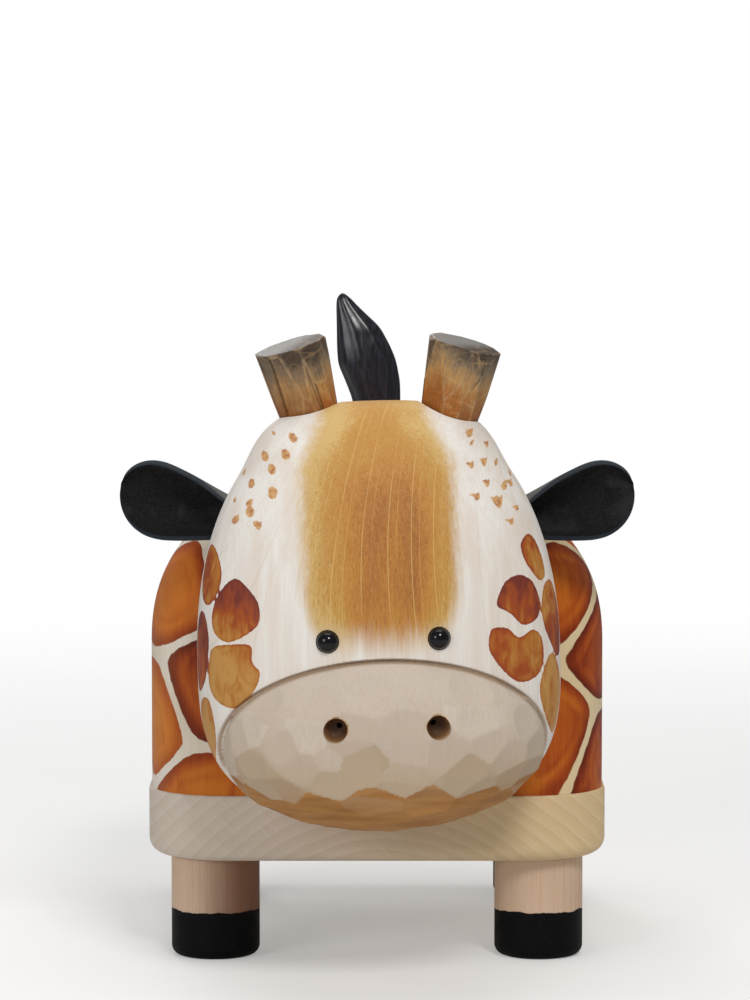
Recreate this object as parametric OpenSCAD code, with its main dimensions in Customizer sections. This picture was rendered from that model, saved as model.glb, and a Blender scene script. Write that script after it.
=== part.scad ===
// Carved and painted wooden giraffe in the shape of a low stool.
// Millimetres. +Z is up and the animal faces -Y. The origin is on the floor, under the middle of
// the whole object's bounding box. Left and right are the animal's own: its left side is +X.

/* [Base plate] */
// Width of the base plate
plate_w = 233; // [200:1:280]
// Length of the base plate from front to back
plate_l = 246; // [220:1:300]
// Thickness of the base plate
plate_t = 34; // [28:1:40]
// Corner radius of the base plate seen from above
plate_corner = 40; // [34:1:50]
// Rounding of the plate's lower edge
plate_edge = 8; // [4:1:9]

/* [Body] */
// How far the body stands back from the plate's edge all round
body_margin = 1.5; // [1:0.5:4]
// Height of the body's straight sides above the plate
side_h = 74; // [60:1:90]
// Height of the arched back above the straight sides, at the front
arch_h = 88; // [70:1:100]
// Fall of the back from front to rear
back_fall = 20; // [0:1:25]
// Fullness of the arch, where 2 is an ellipse
arch_power = 2.3; // [2:0.1:3]
// Radius of the body's upright corners seen from above
body_corner = 38; // [30:1:48]
// Height over which the front and rear edges of the back are rounded
back_edge = 26; // [16:1:34]
// Wall of the hollowed body
wall = 26; // [22:1:30]

/* [Legs] */
// Diameter of a leg
leg_d = 45; // [38:1:50]
// Height of a leg below the plate
leg_h = 52; // [40:1:70]
// Sideways distance of a front leg from the centre line
leg_x_front = 82.5; // [70:0.5:86]
// Sideways distance of a rear leg from the centre line
leg_x_rear = 87; // [70:0.5:88]
// Distance of a leg's axis from the plate's front or rear edge
leg_inset = 34; // [32:1:45]
// Rounding of the foot's lower edge
foot_edge = 5; // [2:0.5:8]
// Diameter of the leg's tenon
tenon_d = 25; // [18:1:30]
// Length of the leg's tenon
tenon_l = 26; // [18:1:27]

/* [Head] */
// Half the width of the skull
skull_half_w = 89.5; // [80:0.5:95]
// Height of the skull's widest level above the floor
skull_z = 160; // [150:1:170]
// Rise of the crown above the widest level
skull_up = 127.5; // [115:0.5:135]
// Drop of the jaw below the widest level
skull_down = 77; // [70:0.5:82]
// How much squarer the crown is from side to side than the rest of the skull
crown_square = 0.9; // [0:0.1:1.2]
// Distance of the skull's widest section in front of the body
skull_mid = 38; // [34:1:42]
// Depth of the forehead in front of the widest section
skull_front = 52; // [44:1:60]
// Depth of the nape behind the widest section, before its flat back is cut
skull_back = 50; // [44:1:60]
// Half the width of the muzzle
muzzle_half_w = 80.5; // [70:0.5:84]
// Height of the muzzle above its middle, the top of it inside the skull
muzzle_up = 62; // [56:1:66]
// Height of the muzzle below its middle
muzzle_low = 44; // [38:0.5:46]
// Drop of the muzzle's middle below the skull's widest level
muzzle_drop = 38.5; // [34:0.5:42]
// Distance of the muzzle's widest section in front of the body
muzzle_mid = 50; // [46:1:56]
// Depth of the muzzle in front of its widest section
muzzle_front = 56; // [46:1:58]
// Turn of the head towards the animal's left
head_turn = 2.7; // [0:0.1:4]
// Lean of the head, left side up
head_roll = 1.4; // [0:0.2:3]
// Sideways offset of the head on the body
head_shift = -1; // [-3:0.5:3]

/* [Face] */
// Diameter of an eye bead
eye_d = 11; // [9:0.5:13]
// Distance between the two eyes
eye_gap = 54; // [48:1:60]
// Height of the eyes above the skull's widest level
eye_up = 15; // [12:1:22]
// Diameter of a drilled nostril
nostril_d = 11.5; // [9:0.5:13]
// Depth of a nostril
nostril_depth = 7; // [5:0.5:10]
// Distance between the two nostrils
nostril_gap = 50; // [44:1:56]
// Drop of the nostrils below the skull's widest level
nostril_drop = 26.5; // [22:0.5:32]

/* [Horns] */
// Diameter of a horn at its foot
horn_foot_d = 31; // [26:1:33]
// Diameter of a horn at its top
horn_top_d = 37; // [32:1:42]
// Length of a horn from its seat to its top
horn_l = 50; // [44:1:60]
// Length of the horn's straight round foot, which is let into the crown
horn_foot_l = 15; // [13:1:18]
// Number of knife-cut flats round a horn
horn_flats = 11; // [8:1:12]
// Lean of the left horn away from the centre line
horn_lean = 14; // [10:0.5:18]
// Lean of the right horn away from the centre line
horn_lean_right = 17.5; // [12:0.5:20]
// Lean of a horn towards the front
horn_nod = 6; // [0:1:10]
// Sideways distance of the left horn's seat from the centre line
horn_x = 31.5; // [28:0.5:34]
// Sideways distance of the right horn's seat from the centre line
horn_x_right = 28.5; // [26:0.5:34]
// Distance of a horn's seat in front of the body
horn_reach = 34; // [31:1:38]
// Height of a horn's seat above the floor
horn_seat_z = 268; // [262:1:270]
// Diameter of a horn's tenon
horn_tenon_d = 14; // [10:1:18]
// Length of a horn's tenon
horn_tenon_l = 20; // [14:1:26]
// Chamfer round the horn's top
horn_chamfer = 3; // [1:0.5:5]

/* [Ears] */
// Length of an ear outside the head
ear_l = 60; // [44:1:66]
// Width of an ear's leather laid flat
ear_w = 51; // [38:1:56]
// Thickness of the leather
ear_t = 2.6; // [2:0.2:3.4]
// Distance of an ear's root from the centre line
ear_x = 70; // [68:0.5:74]
// Height of an ear's root above the floor
ear_z = 229; // [218:1:234]
// Upward slope of an ear
ear_rise = 16; // [0:1:20]
// Turn of the ear's mouth towards the floor
ear_spin = 12; // [0:1:20]
// Distance of an ear's root in front of the body
ear_reach = 12; // [9:1:16]
// Length of leather glued in the head's slot
ear_slot = 9; // [6:1:12]

/* [Tail] */
// Height of the tail above the back
tail_h = 103; // [70:1:110]
// Width of the tail
tail_w = 30; // [24:1:36]
// Thickness of the tail
tail_t = 17; // [12:1:22]
// Lean of the tail's tip towards the animal's right
tail_lean = 20; // [0:1:30]
// Distance of the tail's peg from the body's rear face
tail_inset = 62; // [54:1:80]
// Diameter of the tail's peg
tail_peg_d = 12; // [10:1:14]
// Length of the tail's peg
tail_peg_l = 16; // [12:1:18]
// Depth of the round seat that the tail stands in
tail_sink = 6; // [4:1:8]
// Sideways place of the tail's root
tail_root_x = 1; // [-6:1:6]

/* [Hidden] */
$fn = 64;

LEFT = 1;
RIGHT = -1;
FRONT = -1;
REAR = 1;
CUT = 1;         // how far a cutting solid runs past the face it opens
BIG = 600;       // larger than the whole object

head_reach = muzzle_mid + muzzle_front;
body_w = plate_w - 2*body_margin;
body_l = plate_l - 2*body_margin;
plate_top = leg_h + plate_t;
face_y = (head_reach - body_margin)/2 - plate_l/2 + body_margin;
body_y = face_y + body_l/2;
body_top = plate_top + side_h + arch_h;

leg_y = plate_l/2 - leg_inset;

// Fasteners and dowels
dowel_d = 10;
dowel_l = 40;
head_dowel_x = 30;
head_dowel_z = 190;
head_screw_places = [[-36, 138], [36, 138], [0, 166]];
screw_d = 5;
screw_head_d = 10;
screw_head_h = 3;
screw_l = 60;
plate_dowel_d = 8;
plate_dowel_l = 36;
plate_dowel_x = 45;
rim_x = body_w/2 - wall/2;
rim_y = body_l/2 - wall/2;
plate_screw_places = [[-rim_x, -42], [-rim_x, 42], [rim_x, -42], [rim_x, 42],
                      [0, -rim_y], [0, rim_y]];
plate_screw_sink = 10;

// A point of a superellipse with half axes a and b, at an angle
function bow(angle, a, b, power) =
    [a*sign(cos(angle))*pow(abs(cos(angle)), 2/power),
     b*sign(sin(angle))*pow(abs(sin(angle)), 2/power)];

// Faces of a closed tube of rings, each with the same number of points
function tube_faces(rings, sides) = concat(
    [[for (s = [0:sides-1]) s]],
    [for (r = [0:rings-2], s = [0:sides-1])
        let (a = r*sides + s, b = r*sides + (s + 1) % sides) [a, a + sides, b + sides, b]],
    [[for (s = [0:sides-1]) rings*sides - 1 - s]]);

module mirrored(side) {
    mirror([side < 0 ? 1 : 0, 0, 0]) children();
}

// ---------------------------------------------------------------- base plate and legs

module rounded_slab() {
    hull()
        for (x = [-1, 1], y = [-1, 1], a = [0:15:90])
            translate([x*(plate_w/2 - plate_corner), y*(plate_l/2 - plate_corner),
                       plate_edge*(1 - sin(a))])
                cylinder(r = plate_corner - plate_edge*(1 - cos(a)),
                         h = plate_t - plate_edge*(1 - sin(a)));
}

module base_plate() {
    color("wheat")
        translate([0, body_y, leg_h])
            difference() {
                rounded_slab();
                for (x = [-1, 1]) {
                    translate([x*leg_x_front, -leg_y, -CUT]) cylinder(d = tenon_d, h = tenon_l + CUT);
                    translate([x*leg_x_rear, leg_y, -CUT]) cylinder(d = tenon_d, h = tenon_l + CUT);
                }
                for (p = plate_screw_places) translate([p.x, p.y, 0]) {
                    translate([0, 0, -CUT]) cylinder(d = screw_d, h = plate_t + 2*CUT);
                    translate([0, 0, -CUT]) cylinder(d = screw_head_d, h = plate_screw_sink + CUT);
                }
                for (x = [-1, 1], y = [-1, 1])
                    translate([x*plate_dowel_x, y*rim_y, plate_t - plate_dowel_l/2])
                        cylinder(d = plate_dowel_d, h = plate_dowel_l/2 + CUT);
            }
}

module leg_profile() {
    difference() {
        union() {
            translate([0, foot_edge]) square([leg_d/2, leg_h - foot_edge]);
            square([leg_d/2 - foot_edge, leg_h]);
            translate([leg_d/2 - foot_edge, foot_edge]) circle(r = foot_edge);
            square([tenon_d/2, leg_h + tenon_l]);
        }
        translate([-BIG, -BIG/2]) square([BIG, BIG]);
    }
}

module leg(side, end) {
    color("burlywood")
        translate([side*(end == FRONT ? leg_x_front : leg_x_rear), body_y + end*leg_y, 0])
            rotate_extrude() leg_profile();
}

// ---------------------------------------------------------------- body

// One upright section of the body, drawn in XZ: straight sides under a full arch
module arch_section(half_w, straight, rise) {
    polygon(concat([[half_w, 0]],
                   [for (a = [0:6:180]) bow(a, half_w, rise, arch_power) + [0, straight]],
                   [[-half_w, 0]]));
}

// The loaf-shaped body, shrunk by in on every side but the bottom
module loaf(in) {
    corner = body_corner - in;
    edge = back_edge - in/2;
    hull()
        for (end = [FRONT, REAR], a = [0:15:90])
            translate([0, end*(body_l/2 - in - corner*(1 - cos(a))), 0])
                rotate([90, 0, 0])
                    linear_extrude(0.01, center = true)
                        arch_section(body_w/2 - in - corner*(1 - sin(a)), side_h,
                                     arch_h - in - edge*(1 - sin(a)) - (end == REAR ? back_fall : 0));
}

module body_shell() {
    color("darkorange")
        difference() {
            translate([0, body_y, plate_top]) loaf(0);
            translate([0, body_y, plate_top]) loaf(wall);
            translate([0, body_y, plate_top - CUT]) {
                for (p = plate_screw_places) translate([p.x, p.y, 0])
                    cylinder(d = screw_d, h = screw_l + plate_screw_sink - plate_t + CUT);
                for (x = [-1, 1], y = [-1, 1]) translate([x*plate_dowel_x, y*rim_y, 0])
                    cylinder(d = plate_dowel_d, h = plate_dowel_l/2 + CUT);
            }
            for (x = [-1, 1]) along_head(x*head_dowel_x, head_dowel_z)
                cylinder(d = dowel_d, h = dowel_l/2 + CUT);
            for (p = head_screw_places) along_head(p[0], p[1])
                cylinder(d = screw_d, h = wall + 3*CUT);
            at_tail() translate([tail_root_x, 0, 0]) {
                cylinder(d = tail_stalk_w, h = BIG/10);
                translate([0, 0, -tail_peg_l]) cylinder(d = tail_peg_d, h = tail_peg_l + CUT);
            }
        }
}

// ---------------------------------------------------------------- head

module on_head() {
    translate([head_shift, face_y, skull_z]) rotate([0, -head_roll, head_turn]) children();
}

// A place on the joint between head and body, with Z running back into the body
module along_head(x, z) {
    translate([x, face_y - CUT, z]) rotate([-90, 0, 0]) children();
}

// Skull: level rings of a superellipsoid whose lower half is squarer than its upper half
skull_sides = 48;
function skull_level(a) = bow(a, 1, a < 0 ? skull_down : skull_up, a < 0 ? 3 : 2.25);
function crown_power(z) = let (t = max(0, min(1, (z - 90)/35))) 2.25 + crown_square*t*t*(3 - 2*t);
function skull_ring(a) = let (level = skull_level(a), spread = pow(level[0], 2.25/crown_power(level[1])))
    [for (s = [0:skull_sides-1])
        let (t = 360*s/skull_sides,
             p = bow(t, skull_half_w*spread, (t < 180 ? skull_back : skull_front)*level[0], 2.25))
            [p[0], p[1] - skull_mid, level[1]]];

module skull() {
    angles = [-88, for (a = [-80:8:80]) a, 88];
    polyhedron([for (a = angles) each skull_ring(a)], tube_faces(len(angles), skull_sides));
}

// Muzzle: upright rings from behind the jaw to the nose. The lower half of a ring is fuller than
// its upper half, so the muzzle swells gently out of the forehead and turns under at the jaw.
muzzle_sides = 44;
function muzzle_ring(a) =
    let (level = bow(a, 1, 1, 2.8),
         up = muzzle_up*sqrt(1 - pow(level[1], 2)),
         low = muzzle_low*pow(1 - pow(abs(level[1]), 2.6), 1/2.6))
        [for (s = [0:muzzle_sides-1]) let (t = 360*s/muzzle_sides)
            [muzzle_half_w*level[0]*cos(t), -muzzle_mid - muzzle_front*level[1],
             (t < 180 ? up : low)*sin(t) - muzzle_drop]];

module muzzle() {
    angles = [-88, for (a = [-75:15:60]) a, 68, 76, 83, 88];
    polyhedron([for (a = angles) each muzzle_ring(a)], tube_faces(len(angles), muzzle_sides));
}

module head_block() {
    intersection() {
        on_head() union() {
            skull();
            muzzle();
        }
        translate([-BIG/2, face_y - BIG, 0]) cube(BIG);
    }
}

// Where the centre of a face feature lies: s is the side, with Z pointing out of the face
module at_eye(side) {
    eye_y = -(skull_mid + skull_front*0.966);
    on_head() translate([side*eye_gap/2, eye_y, eye_up]) rotate([88, 0, side*8]) children();
}

module at_nostril(side) {
    nostril_y = -(muzzle_mid + muzzle_front*0.962);
    on_head() translate([side*nostril_gap/2, nostril_y, -nostril_drop]) rotate([99, 0, side*13]) children();
}

module at_horn(side) {
    mirrored(side)
        translate([side == LEFT ? horn_x : horn_x_right, face_y - horn_reach, horn_seat_z])
            rotate([horn_nod, side == LEFT ? horn_lean : horn_lean_right, 0]) children();
}

eye_sink = 3;
eye_centre = 1;
eye_shank_d = 3;
eye_shank_l = 12;
pilot_d = 2.6;

module head() {
    color("antiquewhite")
        difference() {
            head_block();
            for (side = [LEFT, RIGHT]) {
                at_eye(side) translate([0, 0, -eye_sink]) {
                    cylinder(d = eye_d, h = BIG/20);
                    translate([0, 0, -eye_shank_l]) cylinder(d = eye_shank_d, h = eye_shank_l + CUT);
                }
                at_nostril(side) translate([0, 0, -nostril_depth]) {
                    cylinder(d = nostril_d, h = BIG/20);
                    translate([0, 0, -2]) cylinder(d = pilot_d, h = 2 + CUT);
                }
                at_horn(side) {
                    cylinder(d = horn_foot_d, h = BIG/20);
                    translate([0, 0, -horn_tenon_l]) cylinder(d = horn_tenon_d, h = horn_tenon_l + CUT);
                }
                ear_leather(side);
                along_head(side*head_dowel_x, head_dowel_z)
                    translate([0, 0, CUT - dowel_l/2]) cylinder(d = dowel_d, h = dowel_l/2 + CUT);
            }
            for (p = head_screw_places)
                along_head(p[0], p[1]) translate([0, 0, CUT + wall - screw_l])
                    cylinder(d = screw_d, h = screw_l);
        }
}

module eye(side) {
    color("black")
        at_eye(side) translate([0, 0, -eye_sink]) {
            cylinder(d = eye_d, h = eye_sink - eye_centre);
            translate([0, 0, -eye_shank_l]) cylinder(d = eye_shank_d, h = eye_shank_l);
            translate([0, 0, eye_sink - eye_centre]) intersection() {
                sphere(d = eye_d);
                cylinder(d = eye_d, h = eye_d);
            }
        }
}

module horn(side) {
    color("peru")
        at_horn(side) {
            cylinder(d = horn_foot_d, h = horn_foot_l);
            translate([0, 0, horn_foot_l])
                cylinder(d1 = horn_foot_d, d2 = horn_top_d, h = horn_l - horn_foot_l - horn_chamfer,
                         $fn = horn_flats);
            translate([0, 0, horn_l - horn_chamfer])
                cylinder(d1 = horn_top_d, d2 = horn_top_d - 2*horn_chamfer, h = horn_chamfer,
                         $fn = horn_flats);
            translate([0, 0, -horn_tenon_l]) cylinder(d = horn_tenon_d, h = horn_tenon_l);
        }
}

// ---------------------------------------------------------------- ears

// The leather is a leaf rolled into a scoop, tight at the root and open towards the tip.
// u runs from 0 at the slot's bottom to 1 at the tip, v from -1 to 1 across the leaf.
ear_rows = 14;
ear_columns = 10;
ear_widest = 0.57;
ear_tip = 0.99;
ear_root_half_w = 14;
ear_root_roll = 105;
ear_tip_roll = 40;

function ear_half_w(u) = u < ear_widest
    ? ear_root_half_w + (ear_w/2 - ear_root_half_w)*(1 - cos(180*u/ear_widest))/2
    : ear_w/2*sqrt(1 - pow((u - ear_widest)/(1 - ear_widest), 2.3));
function ear_point(u, v, depth) =
    let (roll = ear_root_roll + (ear_tip_roll - ear_root_roll)*u,
         radius = ear_half_w(u)*180/(PI*roll),
         a = roll*v)
        [u*(ear_l + ear_slot) - ear_slot, (radius - depth)*cos(a) - radius, (radius - depth)*sin(a)];
function ear_ring(u) = concat(
    [for (c = [0:ear_columns]) ear_point(u, 1 - 2*c/ear_columns, 0)],
    [for (c = [0:ear_columns]) ear_point(u, 2*c/ear_columns - 1, ear_t)]);

module ear_leather(side) {
    mirrored(side)
        translate([ear_x, face_y - ear_reach, ear_z]) rotate([ear_spin, -ear_rise, 0])
            polyhedron([for (r = [0:ear_rows]) each ear_ring(ear_tip*r/ear_rows)],
                       tube_faces(ear_rows + 1, 2*ear_columns + 2));
}

module ear(side) {
    color("dimgray") ear_leather(side);
}

// ---------------------------------------------------------------- tail

tail_rings = 14;
tail_sides = 16;
tail_tip = 0.985;
tail_widest = 0.58;
tail_stalk_w = 17;

tail_y = body_y + body_l/2 - tail_inset;
back_run = body_l - 2*body_corner;
tail_seat_z = body_top - back_fall*(body_l - tail_inset - body_corner)/back_run - tail_sink;

function tail_width(t) = t < tail_widest
    ? tail_stalk_w + (tail_w - tail_stalk_w)*sin(90*t/tail_widest)
    : tail_w*pow(1 - pow((t - tail_widest)/(1 - tail_widest), 2.6), 0.75);
function tail_ring(t) =
    let (w = tail_width(t), thick = w*tail_t/tail_w, middle = tail_root_x - tail_lean*pow(t, 3.2))
        [for (s = [0:tail_sides-1]) let (a = 360*s/tail_sides)
            [middle + w/2*cos(a), thick/2*sin(a), tail_sink + t*tail_h]];

module at_tail() {
    translate([0, tail_y, tail_seat_z]) children();
}

module tail() {
    color("darkslategray")
        at_tail() {
            polyhedron([for (r = [0:tail_rings]) each tail_ring(tail_tip*r/tail_rings)],
                       tube_faces(tail_rings + 1, tail_sides));
            translate([tail_root_x, 0, 0]) cylinder(d = tail_stalk_w - 1, h = tail_sink + 2);
            translate([tail_root_x, 0, -tail_peg_l]) cylinder(d = tail_peg_d, h = tail_peg_l);
        }
}

// ---------------------------------------------------------------- dowels and screws

module wood_screw() {
    cylinder(d = screw_head_d, h = screw_head_h);
    translate([0, 0, -screw_l]) cylinder(d = screw_d, h = screw_l);
}

module head_dowels() {
    color("tan")
        for (side = [LEFT, RIGHT])
            translate([side*head_dowel_x, face_y - dowel_l/2, head_dowel_z])
                rotate([-90, 0, 0]) cylinder(d = dowel_d, h = dowel_l);
}

module head_screws() {
    color("silver")
        for (p = head_screw_places)
            translate([p[0], face_y + wall, p[1]]) rotate([-90, 0, 0]) wood_screw();
}

module plate_dowels() {
    color("tan")
        for (x = [-1, 1], y = [-1, 1])
            translate([x*plate_dowel_x, body_y + y*rim_y, plate_top - plate_dowel_l/2])
                cylinder(d = plate_dowel_d, h = plate_dowel_l);
}

module plate_screws() {
    color("silver")
        for (p = plate_screw_places)
            translate([p[0], body_y + p[1], leg_h + plate_screw_sink]) mirror([0, 0, 1]) wood_screw();
}

base_plate();
body_shell();
leg(LEFT, FRONT);  // leg_front_left
leg(RIGHT, FRONT);  // leg_front_right
leg(LEFT, REAR);  // leg_rear_left
leg(RIGHT, REAR);  // leg_rear_right
head();
eye(LEFT);  // eye_left
eye(RIGHT);  // eye_right
horn(LEFT);  // horn_left
horn(RIGHT);  // horn_right
ear(LEFT);  // ear_left
ear(RIGHT);  // ear_right
tail();
head_dowels();
head_screws();
plate_dowels();
plate_screws();
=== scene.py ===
"""Carved and painted wooden giraffe in the shape of a low stool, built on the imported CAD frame."""

import bpy
import bmesh
import math
import numpy as np
from mathutils import Matrix, Vector


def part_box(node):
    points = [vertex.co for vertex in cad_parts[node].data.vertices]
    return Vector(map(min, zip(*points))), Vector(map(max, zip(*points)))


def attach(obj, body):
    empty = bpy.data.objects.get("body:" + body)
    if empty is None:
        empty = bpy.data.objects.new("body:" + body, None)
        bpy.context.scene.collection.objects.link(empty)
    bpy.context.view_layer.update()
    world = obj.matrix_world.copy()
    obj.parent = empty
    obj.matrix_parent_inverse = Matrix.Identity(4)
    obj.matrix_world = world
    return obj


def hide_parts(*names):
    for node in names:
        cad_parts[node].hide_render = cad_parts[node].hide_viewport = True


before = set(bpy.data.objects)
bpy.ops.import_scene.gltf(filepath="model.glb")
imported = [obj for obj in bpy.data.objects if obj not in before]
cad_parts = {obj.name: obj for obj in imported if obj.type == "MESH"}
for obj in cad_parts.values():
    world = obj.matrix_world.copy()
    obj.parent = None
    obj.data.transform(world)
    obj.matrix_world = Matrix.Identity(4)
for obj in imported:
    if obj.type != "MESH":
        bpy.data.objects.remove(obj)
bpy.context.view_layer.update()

MM = 0.001
LEFT, RIGHT = 1, -1      # the animal's own sides: its left is +X


# ---------------------------------------------------------------- places, from the CAD frame, in mm

def corner(node, which):
    return np.array(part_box(node)[which]) / MM


def middle(node):
    return (corner(node, 0) + corner(node, 1)) / 2


def side_word(side):
    return "left" if side == LEFT else "right"


FACE_Y = corner("head", 1)[1]
PLATE_LO, PLATE_HI = corner("base_plate", 0), corner("base_plate", 1)
BODY_LO, BODY_HI = corner("body_shell", 0), corner("body_shell", 1)
BODY_MID_Y = (BODY_LO[1] + BODY_HI[1]) / 2
SKULL_Z = 160.0
HEAD_SHIFT = -1.0
HEAD_TURN, HEAD_LEAN = 2.7, 1.4


def turn(axis, degrees):
    return np.array(Matrix.Rotation(math.radians(degrees), 3, axis))


HEAD_TURNED = turn("Z", HEAD_TURN) @ turn("Y", -HEAD_LEAN)
HEAD_PLACE = np.array([HEAD_SHIFT, FACE_Y, SKULL_Z])


def from_head(points):
    """Points in the head's own frame, where -Y is out of the face, to the world."""
    return points @ HEAD_TURNED.T + HEAD_PLACE


def to_head(points):
    return (points - HEAD_PLACE) @ HEAD_TURNED


# ---------------------------------------------------------------- mesh helpers

def smoothstep(a, b, x):
    t = np.clip((x - a) / (b - a), 0, 1)
    return t * t * (3 - 2 * t)


def make_piece(name, points, faces, sharp=40):
    """A new object from points in world millimetres."""
    mesh = bpy.data.meshes.new(name)
    mesh.from_pydata((np.asarray(points) * MM).tolist(), [], [list(map(int, f)) for f in faces])
    mesh.update()
    piece = bpy.data.objects.new(name, mesh)
    bpy.context.scene.collection.objects.link(piece)
    shade(piece, sharp)
    return piece


def shade(piece, sharp):
    mesh = piece.data
    mesh.polygons.foreach_set("use_smooth", [True] * len(mesh.polygons))
    mesh.set_sharp_from_angle(angle=math.radians(sharp))


def turn_outwards(piece):
    bm = bmesh.new()
    bm.from_mesh(piece.data)
    bmesh.ops.recalc_face_normals(bm, faces=bm.faces)
    bm.to_mesh(piece.data)
    bm.free()


def points_of(piece):
    flat = np.empty(len(piece.data.vertices) * 3)
    piece.data.vertices.foreach_get("co", flat)
    return flat.reshape(-1, 3) / MM


def paint(piece, name, values):
    layer = piece.data.attributes.new(name, "FLOAT", "POINT")
    layer.data.foreach_set("value", np.asarray(values, dtype=np.float32))


def ring_faces(rings, sides, closed=True, first=0):
    """Quads between consecutive rings of points."""
    steps = sides if closed else sides - 1
    return [[first + r * sides + s, first + r * sides + (s + 1) % sides,
             first + (r + 1) * sides + (s + 1) % sides, first + (r + 1) * sides + s]
            for r in range(rings - 1) for s in range(steps)]


def capped_faces(rings, sides):
    """Quads between rings of points, and a face over each end."""
    caps = [list(range(sides))[::-1], [(rings - 1) * sides + s for s in range(sides)]]
    return ring_faces(rings, sides) + caps


def lathe(name, profile, place, direction, sides, sharp=40):
    """A turned solid. The profile is (radius, height) from the axis at the bottom to the axis at the top."""
    angles = np.arange(sides) * 2 * math.pi / sides
    inner = [p for p in profile if p[0] > 1e-6]
    points = [[r * math.cos(a), r * math.sin(a), h] for r, h in inner for a in angles]
    points = np.array(points)
    if direction is not None:
        points = points @ np.array(direction).T
    return make_piece(name, points + np.array(place), capped_faces(len(inner), sides), sharp)


def carve(piece, cutters, sharp):
    """Cuts the cutters out of the piece and removes them."""
    for cutter in cutters:
        cut = piece.modifiers.new("cut", "BOOLEAN")
        cut.operation = "DIFFERENCE"
        cut.solver = "MANIFOLD"
        cut.object = cutter
    graph = bpy.context.evaluated_depsgraph_get()
    result = bpy.data.meshes.new_from_object(piece.evaluated_get(graph))
    piece.modifiers.clear()
    piece.data = result
    for cutter in cutters:
        bpy.data.objects.remove(cutter)
    shade(piece, sharp)


def closed_curve(corners, steps=6):
    """A smooth closed curve through a few corner points."""
    p = np.array(corners, float)
    a, b, c, d = (np.roll(p, k, axis=0) for k in (1, 0, -1, -2))
    out = []
    for k in range(steps):
        t = k / steps
        out.append(0.5 * (2 * b + (c - a) * t + (2 * a - 5 * b + 4 * c - d) * t**2
                          + (3 * b - a - 3 * c + d) * t**3))
    return np.stack(out, axis=1).reshape(-1, 2)


def inside_distance(points, curve):
    """Distance to a closed curve, positive inside it."""
    nxt = np.roll(curve, -1, axis=0)
    best = np.full(len(points), 1e9)
    inside = np.zeros(len(points), bool)
    for a, b in zip(curve, nxt):
        edge = b - a
        rel = points - a
        t = np.clip(rel @ edge / (edge @ edge + 1e-12), 0, 1)
        best = np.minimum(best, np.hypot(*(rel - t[:, None] * edge).T))
        crosses = (a[1] > points[:, 1]) != (b[1] > points[:, 1])
        if edge[1] != 0:
            x = a[0] + (points[:, 1] - a[1]) / edge[1] * edge[0]
            inside ^= crosses & (points[:, 0] < x)
    return np.where(inside, best, -best)


# ---------------------------------------------------------------- head: shape

SKULL_W, SKULL_UP, SKULL_DOWN = 89.5, 127.5, 77.0
SKULL_MID, SKULL_FRONT, SKULL_BACK = 38.0, 52.0, 50.0
MUZZLE_W, MUZZLE_TOP, MUZZLE_LOW = 80.5, 62.0, 44.0
MUZZLE_Z, MUZZLE_MID, MUZZLE_FRONT = -38.5, 50.0, 56.0
GROOVE_W, GROOVE_H = 80.0, 43.3
HEAD_CORE = np.array([0.0, 40.0, 5.0])       # x, depth out of the body, z
CROWN_SQUARE = 0.9                           # how much squarer the crown is from side to side
CUT_ROWS = [                                 # rows of knife cuts: rise and step in degrees, tilt at random
    (-82, 50, 0.06), (-67, 27, 0.08), (-54, 18, 0.08), (-42, 15, 0.08), (-31, 14, 0.07), (-20, 14, 0.07),
    (-9, 16, 0.06), (3, 18, 0.05), (16, 22, 0.035), (32, 28, 0.02),
]
FRECKLE_X, FRECKLE_Z = (30, 72), (62, 112)   # |x| and z of the zone with a finer mesh for freckles
NOSTRIL_X, NOSTRIL_Z = 25.0, -26.5
EYE_X, EYE_Z = 27.0, 15.0
HORN_DEPTH, HORN_SEAT_Z, HORN_NOD = 34.0, 268.0, 6.0
HORN_OUT = {LEFT: 31.5, RIGHT: 28.5}         # the left horn leans out less and stands further out
HORN_LEAN = {LEFT: 14.0, RIGHT: 17.5}


def crown_spread(z):
    """How much wider the skull is near its crown than an even curve would make it."""
    level = np.clip(1 - np.clip(z / SKULL_UP, 0, 1)**2.25, 1e-6, 1)
    return level**(1 / (2.25 + CROWN_SQUARE * smoothstep(90, 125, z)) - 1 / 2.25)


def skull_field(x, h, z):
    """Below 1 inside the skull."""
    depth = np.where(h > SKULL_MID, SKULL_FRONT, SKULL_BACK)
    level = np.abs(x / SKULL_W / crown_spread(z))**2.25 + np.abs((h - SKULL_MID) / depth)**2.25
    return np.where(z > 0, level + np.abs(z / SKULL_UP)**2.25,
                    level**(3 / 2.25) + np.abs(z / SKULL_DOWN)**3)


def muzzle_field(x, h, z):
    """Below 1 inside the muzzle."""
    t = np.clip(np.abs(h - MUZZLE_MID) / MUZZLE_FRONT, 0, 0.99999)
    wide = MUZZLE_W * (1 - t**2.8)**(1 / 2.8)
    high = np.where(z > MUZZLE_Z, MUZZLE_TOP * (1 - t**2)**0.5, MUZZLE_LOW * (1 - t**2.6)**(1 / 2.6))
    return (x / wide)**2 + ((z - MUZZLE_Z) / high)**2


def reach(field, core, rays):
    """How far along each ray from the core the field comes to 1."""
    near, far = np.zeros(len(rays)), np.full(len(rays), 220.0)
    for _ in range(26):
        mid = (near + far) / 2
        p = core + rays * mid[:, None]
        out = field(*p.T) > 1
        far, near = np.where(out, mid, far), np.where(out, near, mid)
    return (near + far) / 2


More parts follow.
